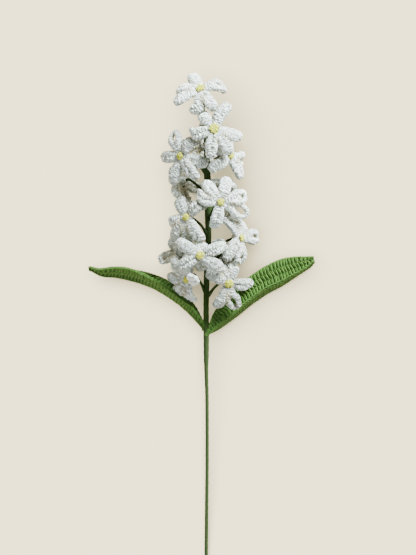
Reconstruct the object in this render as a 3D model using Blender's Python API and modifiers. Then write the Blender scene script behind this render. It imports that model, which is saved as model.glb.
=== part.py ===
"""
Crocheted hyacinth flower on a taped wire stem, lying on its back.

Metres, +Z up. The stem runs along +Y with the flower's tip at +Y, and its best side looks up along +Z.
The origin is on the surface that the flower lies on, under the middle of its bounding box.
"""

import math
from collections import namedtuple

import bmesh
import bpy
import numpy as np
from mathutils import Vector

MM = 0.001

# Gap between a piece and the seat that another piece gives it
SEAT_GAP = 0.3 * MM

# Petals: each is a crocheted loop pressed into a strap, creased in front and hollow behind
PETAL_LENGTH = 22.5 * MM
PETAL_ROOT_RADIUS = 2.2 * MM
PETAL_ROOT_HALF_WIDTH = 2.9 * MM
PETAL_HALF_WIDTH = 4.9 * MM
PETAL_FULL_WIDTH_AT = 0.46
PETAL_HALF_THICKNESS = 2.6 * MM
PETAL_THINS_FROM = 0.8
PETAL_SHOULDER = 1.25
PETAL_CREASE = 0.5 * MM
PETAL_HOLLOW = 1.5 * MM
PETAL_CURL_POWER = 1.6
PETAL_SIDES = 8
PETAL_STATIONS = (0.0, 0.14, 0.36, 0.58, 0.78, 0.93, 1.0)

# How petals give way to what they touch: each petal is followed as two rows of balls along its edges
ROUTE_STEPS = 9
GIVE_ROUNDS = 180
GIVE_SHARE = 0.35
GIVE_LIMIT = 0.8 * MM
GIVE_FROM = 0.3
MATES_GIVE_FROM = 0.55
LOOK_AGAIN_EVERY = 10
LOOK_AROUND = 4.0 * MM
SPRING = 0.15
PETAL_CLEARANCE = 0.8 * MM
SURFACE_PRESS = 0.6 * MM

# Throat that the petals are worked round, with a seat for the centre and a socket for the stalk
THROAT_FRONT = 2.0 * MM
THROAT_DEPTH = 7.6 * MM
THROAT_FRONT_RADIUS = 3.9 * MM
THROAT_BACK_RADIUS = 2.7 * MM
THROAT_SIDES = 10
SEAT_DEPTH = 0.2 * MM
SOCKET_DEPTH = 3.2 * MM
CUTTER_REACH = 6.0 * MM

# Balls that keep petals clear of a throat: depth behind its front and radius
THROAT_BALLS = ((0.6 * MM, 4.0 * MM), (5.0 * MM, 3.4 * MM))

# Yellow centres
CENTRE_RADIUS = 3.1 * MM
CENTRE_CROWN_RADIUS = 1.7 * MM
CENTRE_HEIGHT = 1.9 * MM
CENTRE_SIDES = 12

# Stem tape, stem wire and stalks
STEM_STATIONS = 24
STEM_BALLS = 140
WIRE_RADIUS = 0.6 * MM
WIRE_STOPS_SHORT = 4
BORE_RADIUS = WIRE_RADIUS + SEAT_GAP
BORE_STOPS_SHORT = 3
BORE_LEAD = 3.0 * MM
STALK_RADIUS = 1.1 * MM
STALK_STATIONS = 5
STALK_LAP = 3.0 * MM
STALK_NECK = 3.0 * MM
STALK_BEND_AT = 0.45
STALK_BEND_RISE = 2.5 * MM
STALK_BALLS = 16
STALK_BALLS_INSIDE_STEM = 3

# Leaves: rows of stitches between edge and rib, as shares of the way, raised and sunk in turn
LEAF_THICKNESS = 2.2 * MM
LEAF_STATIONS = 18
LEAF_ROWS = ((0.0, 0.0), (0.34, 0.25 * MM), (0.67, -0.2 * MM))
LEAF_RIB_RISE = 0.4 * MM
LEAF_BALLS = 60
LEAF_BALL_RADIUS = 1.3 * MM
LEAF_SEAT_STATIONS = slice(4, 16)

# Stem axis from the cut end to the tip: x, y, z and radius in millimetres
STEM_ROUTE = (
    (4.0, -198.2, 1.5, 1.45),
    (4.4, -161.0, 5.0, 1.45),
    (4.9, -112.0, 8.8, 1.45),
    (4.8, -63.0, 12.4, 1.5),
    (4.2, -40.0, 14.2, 1.7),
    (4.2, -26.0, 15.2, 2.2),
    (4.2, -8.0, 16.4, 2.3),
    (4.1, 17.0, 18.6, 2.3),
    (5.0, 46.0, 21.0, 2.5),
    (5.9, 69.0, 22.9, 2.5),
    (5.5, 88.0, 24.4, 2.6),
    (5.1, 115.0, 26.6, 2.8),
    (4.5, 138.0, 28.7, 2.3),
    (3.0, 160.0, 31.0, 1.8),
    (1.3, 171.0, 33.5, 1.3),
)

# A floret's centre in millimetres, the way it faces, how many millimetres further down the stem its
# stalk starts, and its petals as turn, lean and curl in degrees. Turn is anticlockwise from +X as seen
# from the front, lean tips a petal's root forward, and curl rolls its outer part back.
Floret = namedtuple("Floret", "centre facing drop petals")

FLORETS = (
    Floret((-0.2, 184.0, 42.0), (-0.12, 0.60, 0.80), 10.0,
           ((26, 10, 115), (117, 5, 58), (172, 12, 104), (207, 8, 50), (272, 5, 92), (300, 10, 88))),
    Floret((10.3, 152.4, 51.0), (0.08, 0.08, 1.0), 15.0,
           ((341, 12, 60), (69, 15, 56), (128, 6, 105), (197, 12, 138), (262, 12, 56), (307, 12, 50))),
    Floret((-15.2, 131.6, 41.0), (-0.55, 0.0, 0.82), 15.0,
           ((54, 12, 90), (116, 12, 72), (180, 10, 75), (246, 10, 60), (307, 16, 66), (341, -12, 60))),
    Floret((22.0, 132.8, 36.0), (0.72, -0.12, 0.68), 15.0,
           ((346, 12, 80), (55, -30, 125), (100, 0, 90), (160, 0, 95), (215, 25, 150), (317, 12, 35))),
    Floret((15.4, 95.1, 47.0), (0.12, 0.0, 1.0), 15.0,
           ((13, 16, 100), (73, 12, 105), (129, 12, 115), (172, 10, 150), (258, 15, 120), (339, 0, 30))),
    Floret((-10.6, 83.2, 41.0), (-0.45, 0.05, 0.88), 15.0,
           ((46, 12, 72), (124, 10, 100), (194, 10, 115), (228, 10, 75), (264, 0, 50), (302, 14, 76))),
    Floret((30.4, 67.0, 33.0), (0.75, 0.10, 0.62), 15.0,
           ((4, 25, 75), (40, 0, 100), (96, 10, 60), (128, 12, 60), (220, 5, 75), (276, 12, 125))),
    Floret((-0.5, 53.3, 49.0), (-0.05, -0.05, 1.0), 15.0,
           ((22, 14, 88), (88, -40, 120), (150, 14, 90), (210, 14, 75), (275, -45, 50), (326, 14, 90))),
    Floret((-10.0, 34.6, 34.0), (-0.50, -0.40, 0.75), 13.0,
           ((16, 52, 38), (80, 0, 80), (135, 5, 80), (180, 8, 70), (230, 20, 42), (250, 12, 45))),
    Floret((21.8, 31.6, 35.0), (0.20, -0.30, 0.92), 13.0,
           ((350, 14, 150), (68, -10, 100), (122, 0, 90), (156, 16, 150), (256, 14, 52), (282, 14, 52))),
    Floret((3.0, 144.0, 5.6), (0.05, 0.05, -1.0), 15.0,
           ((0, 5, 60), (92, -10, 90), (120, 5, 65), (180, 5, 60), (240, 5, 60), (300, 5, 65))),
    Floret((-16.0, 113.0, 15.8), (-0.75, -0.15, -0.60), 15.0,
           ((20, 5, 95), (80, 5, 70), (140, 5, 70), (200, 5, 60), (260, 5, 55), (320, 5, 85))),
    Floret((-17.0, 56.0, 9.0), (-0.50, -0.10, -0.85), 15.0,
           ((40, -10, 110), (90, 5, 60), (150, 5, 60), (208, 5, 50), (272, 5, 55), (342, 8, 58))),
    Floret((21.0, 54.0, 8.2), (0.45, -0.10, -0.88), 15.0,
           ((10, 5, 60), (70, -35, 130), (130, 0, 90), (190, 0, 100), (250, 0, 90), (310, 5, 60))),
    Floret((20.0, 101.0, 10.4), (0.60, 0.10, -0.75), 15.0,
           ((15, 5, 60), (82, -20, 115), (138, -5, 100), (195, 0, 85), (255, 5, 55), (315, 5, 60))),
)

# Leaves as three rails from root to tip, in millimetres: the upper edge, the rib and the lower edge
LEAVES = {
    "leaf_left": (
        ((2.5, -1.5, 18.5), (-8.0, 12.5, 24.0), (-20.0, 22.0, 27.0), (-33.0, 31.0, 27.5),
         (-46.0, 38.0, 27.0), (-58.0, 42.6, 25.5), (-70.0, 43.6, 22.5), (-82.0, 42.2, 18.5),
         (-91.0, 44.6, 14.0)),
        ((1.5, -4.5, 16.5), (-6.0, 4.2, 17.0), (-16.0, 13.4, 17.5), (-28.0, 22.0, 17.5),
         (-40.0, 28.4, 17.0), (-54.0, 33.2, 16.0), (-68.0, 36.4, 14.5), (-80.0, 37.8, 13.0),
         (-91.0, 43.6, 12.0)),
        ((2.5, -2.0, 14.5), (-5.0, 12.0, 9.5), (-15.0, 23.5, 7.0), (-28.0, 33.0, 6.0),
         (-42.0, 38.6, 5.5), (-56.0, 41.4, 6.0), (-69.0, 41.8, 7.0), (-81.0, 40.6, 8.5),
         (-91.0, 43.0, 10.0)),
    ),
    "leaf_right": (
        ((5.5, -7.0, 19.0), (11.0, 8.0, 20.0), (24.0, 24.0, 21.0), (38.0, 35.4, 22.0),
         (52.0, 44.6, 22.0), (64.0, 50.0, 21.0), (75.0, 52.0, 19.5), (85.0, 52.2, 17.5),
         (91.0, 52.4, 17.0)),
        ((6.0, -9.0, 17.0), (14.0, -2.0, 17.0), (26.0, 7.6, 17.0), (38.5, 18.0, 17.0),
         (50.5, 26.6, 16.5), (62.0, 31.8, 16.0), (74.0, 38.4, 15.5), (84.0, 44.0, 15.0),
         (91.0, 51.0, 15.5)),
        ((6.5, -9.5, 15.0), (15.0, -5.0, 9.0), (29.0, 4.8, 5.5), (42.0, 15.2, 4.0),
         (54.0, 23.2, 3.6), (66.0, 29.6, 4.2), (77.0, 37.0, 6.0), (86.0, 43.6, 9.0),
         (91.0, 50.0, 13.5)),
    ),
}

# Colours as linear RGB
WHITE_YARN = (0.80, 0.81, 0.82, 1.0)
YELLOW_YARN = (0.80, 0.74, 0.24, 1.0)
LEAF_YARN = (0.10, 0.26, 0.06, 1.0)
TAPE_GREEN = (0.07, 0.16, 0.04, 1.0)
WIRE_STEEL = (0.35, 0.35, 0.36, 1.0)


def unit(vectors):
    """Every vector along the last axis at length one."""
    return vectors / np.linalg.norm(vectors, axis=-1, keepdims=True)


def smooth_route(points, count):
    """Catmull-Rom curve through the points, as count points evenly spaced in parameter."""
    knots = np.asarray(points, dtype=float)
    padded = np.vstack([2 * knots[0] - knots[1], knots, 2 * knots[-1] - knots[-2]])
    spans = len(knots) - 1
    route = []
    for where in np.linspace(0, spans, count):
        span = min(int(where), spans - 1)
        t = where - span
        a, b, c, d = padded[span:span + 4]
        route.append(0.5 * (2 * b + (c - a) * t + (2 * a - 5 * b + 4 * c - d) * t * t
                            + (3 * b - a - 3 * c + d) * t ** 3))
    return np.array(route)


def floret_place(floret):
    """A floret's centre in metres and its right, up and forward axes, up as near the spike's as it goes."""
    forward = unit(np.array(floret.facing, dtype=float))
    spike = np.array((0.0, 1.0, 0.0))
    up = unit(spike - np.dot(spike, forward) * forward)
    right = np.cross(up, forward)
    return np.array(floret.centre) * MM, right, up, forward


def throat_ends(floret):
    """The front and the back of the throat, on the floret's axis."""
    centre, _, _, forward = floret_place(floret)
    front = centre + forward * THROAT_FRONT
    return front, front - forward * THROAT_DEPTH


def petal_route(floret, turn, lean, curl):
    """The middle of a petal from root to tip before it gives way, and the way across it."""
    centre, right, up, forward = floret_place(floret)
    outward = math.cos(math.radians(turn)) * right + math.sin(math.radians(turn)) * up
    point = centre + outward * PETAL_ROOT_RADIUS
    route = [point]
    for index in range(ROUTE_STEPS):
        along = (index + 0.5) / ROUTE_STEPS
        angle = math.radians(lean - curl * along ** PETAL_CURL_POWER)
        heading = math.cos(angle) * outward + math.sin(angle) * forward
        point = point + heading * PETAL_LENGTH / ROUTE_STEPS
        route.append(point)
    return np.array(route), np.cross(forward, outward)


def petal_half_width(along):
    """Half the petal's width at a share of its length: narrow at the root and round at the tip."""
    if along < PETAL_FULL_WIDTH_AT:
        rise = math.sin(0.5 * math.pi * along / PETAL_FULL_WIDTH_AT)
        return PETAL_ROOT_HALF_WIDTH + (PETAL_HALF_WIDTH - PETAL_ROOT_HALF_WIDTH) * rise
    fall = (along - PETAL_FULL_WIDTH_AT) / (1 - PETAL_FULL_WIDTH_AT)
    return PETAL_HALF_WIDTH * math.sqrt(max(0.0, 1 - fall ** 3))


def petal_half_thickness(along):
    """Half the petal's thickness at a share of its length, thinning to the tip."""
    fall = max(0.0, (along - PETAL_THINS_FROM) / (1 - PETAL_THINS_FROM))
    return PETAL_HALF_THICKNESS * math.sqrt(max(0.0, 1 - fall ** 2))


def petal_frames(routes, across):
    """The sideways and the front direction at every point of the petal routes."""
    tangents = unit(np.gradient(routes, axis=1))
    across = across[:, None, :]
    sides = unit(across - tangents * np.sum(across * tangents, axis=2, keepdims=True))
    return sides, np.cross(tangents, sides)


def stalk_route(floret, stem):
    """A stalk's route from inside the stem to the bottom of the floret's socket."""
    centre, _, _, forward = floret_place(floret)
    _, back = throat_ends(floret)
    start_y = min(centre[1] - floret.drop * MM, stem[-1, 1] - STALK_LAP)
    start = np.array([np.interp(start_y, stem[:, 1], stem[:, axis]) for axis in range(3)])
    neck = back - forward * STALK_NECK
    bend = start + (neck - start) * STALK_BEND_AT + np.array((0.0, STALK_BEND_RISE, 0.0))
    end = back + forward * (SOCKET_DEPTH - SEAT_GAP)
    return np.vstack([smooth_route((start, bend, neck), STALK_STATIONS), end])


def leaf_rows(rails):
    """A leaf's rows of points from the upper edge over the raised rib to the lower edge."""
    upper, rib, lower = (smooth_route(np.array(rail) * MM, LEAF_STATIONS) for rail in rails)
    along = np.gradient(rib, axis=0) * np.sign(rib[-1, 0] - rib[0, 0])
    upper_front = unit(np.cross(along, upper - rib))
    lower_front = unit(np.cross(along, rib - lower))
    rows = [upper + (rib - upper) * share + upper_front * rise for share, rise in LEAF_ROWS]
    rows.append(rib + unit(upper_front + lower_front) * LEAF_RIB_RISE)
    rows += [lower + (rib - lower) * share + lower_front * rise for share, rise in reversed(LEAF_ROWS)]
    return rows


def obstacle_balls(stem, stalks):
    """Balls for the stem, stalks, throats, centres and leaves, which petals give way to."""
    balls = [(point[:3], point[3], -1) for point in smooth_route(stem, STEM_BALLS)]
    for index, (floret, stalk) in enumerate(zip(FLORETS, stalks)):
        _, _, _, forward = floret_place(floret)
        front, _ = throat_ends(floret)
        for point in smooth_route(stalk, STALK_BALLS)[STALK_BALLS_INSIDE_STEM:]:
            balls.append((point, STALK_RADIUS, index))
        for depth, radius in THROAT_BALLS:
            balls.append((front - forward * depth, radius, index))
    for rails in LEAVES.values():
        rows = leaf_rows(rails)
        between = [(row + other) / 2 for row, other in zip(rows, rows[1:])]
        for row in rows + between:
            balls += [(point, LEAF_BALL_RADIUS, -1) for point in smooth_route(row, LEAF_BALLS)]
    places, radii, owners = zip(*balls)
    return np.array(places), np.array(radii), np.array(owners)


def turned_with(vectors, before, after):
    """Vectors carried along by the turn that takes each unit vector before to the one after."""
    axis = np.cross(before, after)
    cosine = np.sum(before * after, axis=1, keepdims=True)
    once = np.cross(axis, vectors)
    return vectors + once + np.cross(axis, once) / (1 + cosine + 1e-6)


def spring_back(routes, rest):
    """Routes with every step at its own length, bending back towards their shape at rest."""
    steps = unit(np.diff(rest, axis=1))
    bent = routes.copy()
    bent[:, :2] = rest[:, :2]
    for index in range(1, ROUTE_STEPS):
        before = unit(bent[:, index] - bent[:, index - 1])
        heading = unit(bent[:, index + 1] - bent[:, index])
        wanted = turned_with(steps[:, index], steps[:, index - 1], before)
        heading = unit(heading + SPRING * wanted)
        bent[:, index + 1] = bent[:, index] + heading * PETAL_LENGTH / ROUTE_STEPS
    return bent


def near_pairs(places, others, reach, allowed):
    """Indices of the allowed pairs that are little further apart than their reach."""
    distance = np.linalg.norm(places[:, None, :] - others[None, :, :], axis=2)
    return np.nonzero((distance < reach + LOOK_AROUND) & allowed)


def way_out(places, others, wanted):
    """The way out of each overlap, as a vector as long as the overlap is deep."""
    apart = places - others
    distance = np.maximum(np.linalg.norm(apart, axis=1), 1e-9)
    return apart / distance[:, None] * np.maximum(wanted - distance, 0.0)[:, None]


def settle_petals(stem, stalks):
    """Owners, routes, sides and fronts of all petals once they have given way as soft crochet does."""
    starts = [(index, *petal_route(floret, *petal))
              for index, floret in enumerate(FLORETS) for petal in floret.petals]
    owners, rest, across = (np.array(column) for column in zip(*starts))
    along = np.linspace(0, 1, ROUTE_STEPS + 1)
    radius = PETAL_HALF_THICKNESS
    spread = np.array([max(petal_half_width(min(share, 0.9)) - radius, 0.0) for share in along])
    balls, ball_radii, ball_owners = obstacle_balls(stem, stalks)
    petal_of = np.repeat(np.arange(len(rest)), 2 * (ROUTE_STEPS + 1))
    share_of = np.tile(along, 2 * len(rest))
    owner_of = owners[petal_of]
    freedom = np.clip((share_of - 0.1) / 0.6, 0.0, 1.0)
    loose = share_of >= GIVE_FROM
    outer = share_of >= MATES_GIVE_FROM
    mates = owner_of[:, None] == owner_of[None, :]
    allowed = (petal_of[:, None] < petal_of[None, :]) & (~mates | (outer[:, None] & outer[None, :]))
    ball_allowed = (owner_of[:, None] != ball_owners[None, :]) | loose[:, None]
    routes = rest
    for give_round in range(GIVE_ROUNDS):
        sides, _ = petal_frames(routes, across)
        offset = sides * spread[None, :, None]
        places = np.concatenate([routes + offset, routes - offset], axis=1).reshape(-1, 3)
        if give_round % LOOK_AGAIN_EVERY == 0:
            first, second = near_pairs(places, places, 2 * radius, allowed)
            touching, ball = near_pairs(places, balls, radius + ball_radii[None, :], ball_allowed)
        moves = np.zeros_like(places)
        clearance = np.where(mates[first, second], 0.0, PETAL_CLEARANCE)
        apart = way_out(places[first], places[second], 2 * radius + clearance)
        whole = np.maximum(freedom[first] + freedom[second], 0.05)
        np.add.at(moves, first, apart * (freedom[first] / whole)[:, None])
        np.add.at(moves, second, -apart * (freedom[second] / whole)[:, None])
        apart = way_out(places[touching], balls[ball], radius + ball_radii[ball] + PETAL_CLEARANCE)
        np.add.at(moves, touching, apart * np.minimum(2 * freedom[touching], 1.0)[:, None])
        moves[:, 2] += np.maximum(radius - SURFACE_PRESS - places[:, 2], 0.0) * freedom
        moves = GIVE_SHARE * moves.reshape(len(rest), 2, ROUTE_STEPS + 1, 3).sum(axis=1)
        size = np.linalg.norm(moves, axis=2, keepdims=True)
        moves *= np.minimum(1.0, GIVE_LIMIT / np.maximum(size, 1e-9))
        routes = spring_back(routes + moves, rest)
    sides, fronts = petal_frames(routes, across)
    return owners, routes, sides, fronts


def clear_scene():
    """Remove every object that the file opened with."""
    for found in list(bpy.data.objects):
        bpy.data.objects.remove(found, do_unlink=True)


def new_collection(name):
    """A collection in the scene."""
    group = bpy.data.collections.new(name)
    bpy.context.scene.collection.children.link(group)
    return group


def new_material(name, colour, roughness, metallic=0.0):
    """A Principled material of one colour."""
    material = bpy.data.materials.new(name)
    material.use_nodes = True
    shader = material.node_tree.nodes["Principled BSDF"]
    shader.inputs["Base Color"].default_value = colour
    shader.inputs["Roughness"].default_value = roughness
    shader.inputs["Metallic"].default_value = metallic
    material.diffuse_color = colour
    return material


def link_mesh(name, work, collection, material):
    """A linked object from a bmesh."""
    mesh = bpy.data.meshes.new(name)
    work.to_mesh(mesh)
    work.free()
    mesh.materials.append(material)
    piece = bpy.data.objects.new(name, mesh)
    collection.objects.link(piece)
    return piece


def cone_shape(start, end, start_radius, end_radius, sides):
    """A closed cone or cylinder between two points."""
    work = bmesh.new()
    start, end = Vector(start), Vector(end)
    bmesh.ops.create_cone(work, cap_ends=True, segments=sides, radius1=start_radius, radius2=end_radius,
                          depth=(end - start).length)
    turn = Vector((0.0, 0.0, 1.0)).rotation_difference(end - start)
    for vertex in work.verts:
        vertex.co = turn @ vertex.co + (start + end) / 2
    return work


def petal_shape(route, sides, fronts):
    """A ball drawn out along a petal's route, with a crease in front and a hollow behind."""
    work = bmesh.new()
    rings = len(PETAL_STATIONS) - 1
    bmesh.ops.create_uvsphere(work, u_segments=PETAL_SIDES, v_segments=rings, radius=1.0)
    steps = np.linspace(0, 1, ROUTE_STEPS + 1)
    for vertex in work.verts:
        polar = math.acos(max(-1.0, min(1.0, -vertex.co.z)))
        along = PETAL_STATIONS[round(polar / math.pi * rings)]
        middle, side, front = (np.array([np.interp(along, steps, row[:, axis]) for axis in range(3)])
                               for row in (route, sides, fronts))
        across = 0.0
        rise = 0.0
        if 0.0 < along < 1.0:
            around = math.atan2(vertex.co.y, vertex.co.x)
            thick = petal_half_thickness(along)
            across = math.cos(around) * petal_half_width(along)
            rise = max(-thick, min(thick, math.sin(around) * thick * PETAL_SHOULDER))
            if abs(math.cos(around)) < 0.1:
                rise += -PETAL_CREASE if rise > 0 else PETAL_HOLLOW
        vertex.co = Vector(middle + unit(side) * across + unit(front) * rise)
    return work


def tube_shape(points, radii, resolution):
    """A capped tube along points, made as a curve and then welded."""
    curve = bpy.data.curves.new("route", "CURVE")
    curve.dimensions = "3D"
    curve.bevel_depth = 1.0
    curve.bevel_resolution = resolution
    curve.use_fill_caps = True
    spline = curve.splines.new("POLY")
    spline.points.add(len(points) - 1)
    for target, point, radius in zip(spline.points, points, radii):
        target.co = (*point, 1.0)
        target.radius = radius
    guide = bpy.data.objects.new("route", curve)
    bpy.context.scene.collection.objects.link(guide)
    bpy.context.view_layer.update()
    evaluated = guide.evaluated_get(bpy.context.evaluated_depsgraph_get())
    mesh = bpy.data.meshes.new_from_object(evaluated)
    work = bmesh.new()
    work.from_mesh(mesh)
    bmesh.ops.remove_doubles(work, verts=work.verts, dist=0.01 * MM)
    bpy.data.objects.remove(guide, do_unlink=True)
    return work


def apply_boolean(piece, operation, operand=None, group=None):
    """Apply one Boolean to a piece, with one object or with a collection."""
    modifier = piece.modifiers.new("Boolean", "BOOLEAN")
    modifier.operation = operation
    modifier.solver = "MANIFOLD"
    if group is None:
        modifier.object = operand
    else:
        modifier.operand_type = "COLLECTION"
        modifier.collection = group
    bpy.context.view_layer.update()
    evaluated = piece.evaluated_get(bpy.context.evaluated_depsgraph_get())
    mesh = bpy.data.meshes.new_from_object(evaluated)
    piece.modifiers.clear()
    piece.data = mesh


def cut_away(piece, cutter_shape, cutters):
    """Cut a shape out of a piece."""
    cutter = link_mesh("cutter", cutter_shape, cutters, piece.data.materials[0])
    apply_boolean(piece, "DIFFERENCE", operand=cutter)
    bpy.data.objects.remove(cutter, do_unlink=True)


def fuse_group(piece, group):
    """Fuse a collection of repeats into a piece and remove them."""
    apply_boolean(piece, "UNION", group=group)
    for repeat in list(group.objects):
        bpy.data.objects.remove(repeat, do_unlink=True)
    bpy.data.collections.remove(group)


def keep_largest_body(piece):
    """Drop the loose scraps that a Boolean may leave beside the piece's own body."""
    work = bmesh.new()
    work.from_mesh(piece.data)
    waiting = set(work.verts)
    bodies = []
    while waiting:
        found = [waiting.pop()]
        body = []
        while found:
            vertex = found.pop()
            body.append(vertex)
            others = {link.other_vert(vertex) for link in vertex.link_edges} & waiting
            waiting -= others
            found.extend(others)
        bodies.append(body)
    bodies.sort(key=len)
    for body in bodies[:-1]:
        bmesh.ops.delete(work, geom=body, context="VERTS")
    work.to_mesh(piece.data)
    work.free()


def surface_block():
    """A block whose top is the surface that the flower lies on."""
    work = bmesh.new()
    bmesh.ops.create_cube(work, size=1.0)
    for vertex in work.verts:
        vertex.co.z = 0.1 * (vertex.co.z - 0.5)
    return work


def build_floret(number, floret, petals, flower, cutters, material):
    """One white floret: six petals fused round a throat, with the centre's seat and the stalk's socket."""
    name = f"floret_{number:02d}"
    _, _, _, forward = floret_place(floret)
    front, back = throat_ends(floret)
    throat = cone_shape(back, front, THROAT_BACK_RADIUS, THROAT_FRONT_RADIUS, THROAT_SIDES)
    piece = link_mesh(name, throat, flower, material)
    group = new_collection(f"{name}_petals")
    for route, sides, fronts in petals:
        link_mesh(f"{name}_petal", petal_shape(route, sides, fronts), group, material)
    fuse_group(piece, group)
    seat_radius = CENTRE_RADIUS + SEAT_GAP
    cut_away(piece, cone_shape(front - forward * SEAT_DEPTH, front + forward * CUTTER_REACH,
                               seat_radius, seat_radius, CENTRE_SIDES), cutters)
    socket_radius = STALK_RADIUS + SEAT_GAP
    cut_away(piece, cone_shape(back - forward * CUTTER_REACH, back + forward * SOCKET_DEPTH,
                               socket_radius, socket_radius, PETAL_SIDES), cutters)
    if min(vertex.co.z for vertex in piece.data.vertices) < 0.0:
        cut_away(piece, surface_block(), cutters)
    keep_largest_body(piece)


def build_centre(number, floret, flower, material):
    """The yellow round in the middle of a floret."""
    _, _, _, forward = floret_place(floret)
    front, _ = throat_ends(floret)
    base = front + forward * (SEAT_GAP - SEAT_DEPTH)
    crown = base + forward * CENTRE_HEIGHT
    link_mesh(f"centre_{number:02d}", cone_shape(base, crown, CENTRE_RADIUS, CENTRE_CROWN_RADIUS,
                                                 CENTRE_SIDES), flower, material)


def build_stem_tape(stem, stalks, flower, cutters, material):
    """The taped stem with its taped stalks, hollow where the wire runs."""
    piece = link_mesh("stem_tape", tube_shape(stem[:, :3], stem[:, 3], 2), flower, material)
    group = new_collection("stalks")
    for stalk in stalks:
        link_mesh("stalk", tube_shape(stalk, [STALK_RADIUS] * len(stalk), 1), group, material)
    fuse_group(piece, group)
    bore = stem[:-BORE_STOPS_SHORT, :3]
    bore = np.vstack([bore[0] + unit(bore[0] - bore[1]) * BORE_LEAD, bore])
    cut_away(piece, tube_shape(bore, [BORE_RADIUS] * len(bore), 1), cutters)


def build_stem_wire(stem, flower, material):
    """The steel wire inside the tape, from the cut end up into the spike."""
    route = stem[:-WIRE_STOPS_SHORT, :3]
    link_mesh("stem_wire", tube_shape(route, [WIRE_RADIUS] * len(route), 1), flower, material)


def build_leaf(name, rails, stem, flower, cutters, material):
    """A folded crocheted leaf: a ridged blade between three rails, cut to sit against the stem."""
    rows = leaf_rows(rails)
    work = bmesh.new()
    bmesh.ops.create_grid(work, x_segments=LEAF_STATIONS - 1, y_segments=len(rows) - 1, size=0.5)
    for vertex in work.verts:
        station = round((vertex.co.x + 0.5) * (LEAF_STATIONS - 1))
        row = round((vertex.co.y + 0.5) * (len(rows) - 1))
        vertex.co = Vector(rows[row][station])
    bmesh.ops.triangulate(work, faces=work.faces)
    piece = link_mesh(name, work, flower, material)
    thickness = piece.modifiers.new("Thickness", "SOLIDIFY")
    thickness.thickness = LEAF_THICKNESS
    thickness.offset = 0.0
    near = stem[LEAF_SEAT_STATIONS]
    cut_away(piece, tube_shape(near[:, :3], near[:, 3] + SEAT_GAP, 2), cutters)
    keep_largest_body(piece)


def main():
    """Build the flower."""
    clear_scene()
    flower = new_collection("crocheted_hyacinth")
    cutters = new_collection("cutters")
    white = new_material("white_cotton", WHITE_YARN, 0.9)
    yellow = new_material("yellow_cotton", YELLOW_YARN, 0.9)
    green = new_material("green_cotton", LEAF_YARN, 0.85)
    tape = new_material("floral_tape", TAPE_GREEN, 0.6)
    steel = new_material("wire_steel", WIRE_STEEL, 0.4, metallic=1.0)
    stem = smooth_route(np.array(STEM_ROUTE) * MM, STEM_STATIONS)
    stalks = [stalk_route(floret, stem) for floret in FLORETS]
    owners, routes, sides, fronts = settle_petals(stem, stalks)
    for index, floret in enumerate(FLORETS):
        own = np.nonzero(owners == index)[0]
        petals = [(routes[petal], sides[petal], fronts[petal]) for petal in own]
        build_floret(index + 1, floret, petals, flower, cutters, white)
        build_centre(index + 1, floret, flower, yellow)
    build_stem_tape(stem, stalks, flower, cutters, tape)
    build_stem_wire(stem, flower, steel)
    for name, rails in LEAVES.items():
        build_leaf(name, rails, stem, flower, cutters, green)


main()
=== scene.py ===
"""
Crocheted hyacinth flower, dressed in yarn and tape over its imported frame.

Metres, +Z up. The flower lies on its back along +Y and looks up along +Z, and the camera looks down on it.
Every petal is a loop of cord: stitches wrapped round a core, with a chain of stitches along the rim.
"""

import functools
import math
from collections import namedtuple

import bpy
import numpy as np
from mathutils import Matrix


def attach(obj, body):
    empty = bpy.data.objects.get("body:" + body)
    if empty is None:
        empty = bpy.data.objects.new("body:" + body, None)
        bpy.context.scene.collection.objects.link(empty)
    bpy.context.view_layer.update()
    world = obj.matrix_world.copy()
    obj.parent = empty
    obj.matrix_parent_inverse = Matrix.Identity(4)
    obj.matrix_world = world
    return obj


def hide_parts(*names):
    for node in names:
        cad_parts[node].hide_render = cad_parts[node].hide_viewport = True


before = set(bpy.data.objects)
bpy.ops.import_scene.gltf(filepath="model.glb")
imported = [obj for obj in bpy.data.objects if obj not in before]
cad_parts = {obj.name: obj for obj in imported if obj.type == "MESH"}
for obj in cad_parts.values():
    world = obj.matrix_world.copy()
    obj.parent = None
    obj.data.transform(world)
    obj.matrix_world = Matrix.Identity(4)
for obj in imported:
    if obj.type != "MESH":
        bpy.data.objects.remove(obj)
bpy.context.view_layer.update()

bl_info = {
    "name": "Crocheted Hyacinth",
    "version": (1, 0, 0),
    "blender": (4, 5, 0),
    "location": "3D View > Sidebar > Hyacinth",
    "description": "Dresses the hyacinth's frame in crochet stitches, floral tape and wire",
    "category": "Object",
}

MM = 0.001
TAU = 2 * math.pi

# Petals as the frame has them
PETAL_LENGTH = 22.5 * MM
PETAL_ROOT_RADIUS = 2.2 * MM
PETAL_ROOT_HALF_WIDTH = 2.9 * MM
PETAL_HALF_WIDTH = 4.9 * MM
PETAL_FULL_WIDTH_AT = 0.46
PETAL_HALF_THICKNESS = 2.6 * MM
PETAL_CURL_POWER = 1.6

# How petals give way to what they touch
ROUTE_STEPS = 9
GIVE_ROUNDS = 180
GIVE_SHARE = 0.35
GIVE_LIMIT = 0.8 * MM
GIVE_FROM = 0.3
MATES_GIVE_FROM = 0.55
LOOK_AGAIN_EVERY = 10
LOOK_AROUND = 4.0 * MM
SPRING = 0.15
PETAL_CLEARANCE = 0.8 * MM
SURFACE_PRESS = 0.6 * MM

# Throat that the petals are worked round
THROAT_FRONT = 2.0 * MM
THROAT_DEPTH = 7.6 * MM
THROAT_FRONT_RADIUS = 3.9 * MM
THROAT_BACK_RADIUS = 2.7 * MM
THROAT_BALLS = ((0.6 * MM, 4.0 * MM), (5.0 * MM, 3.4 * MM))
SEAT_GAP = 0.3 * MM
SEAT_DEPTH = 0.2 * MM
SOCKET_DEPTH = 3.2 * MM

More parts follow.
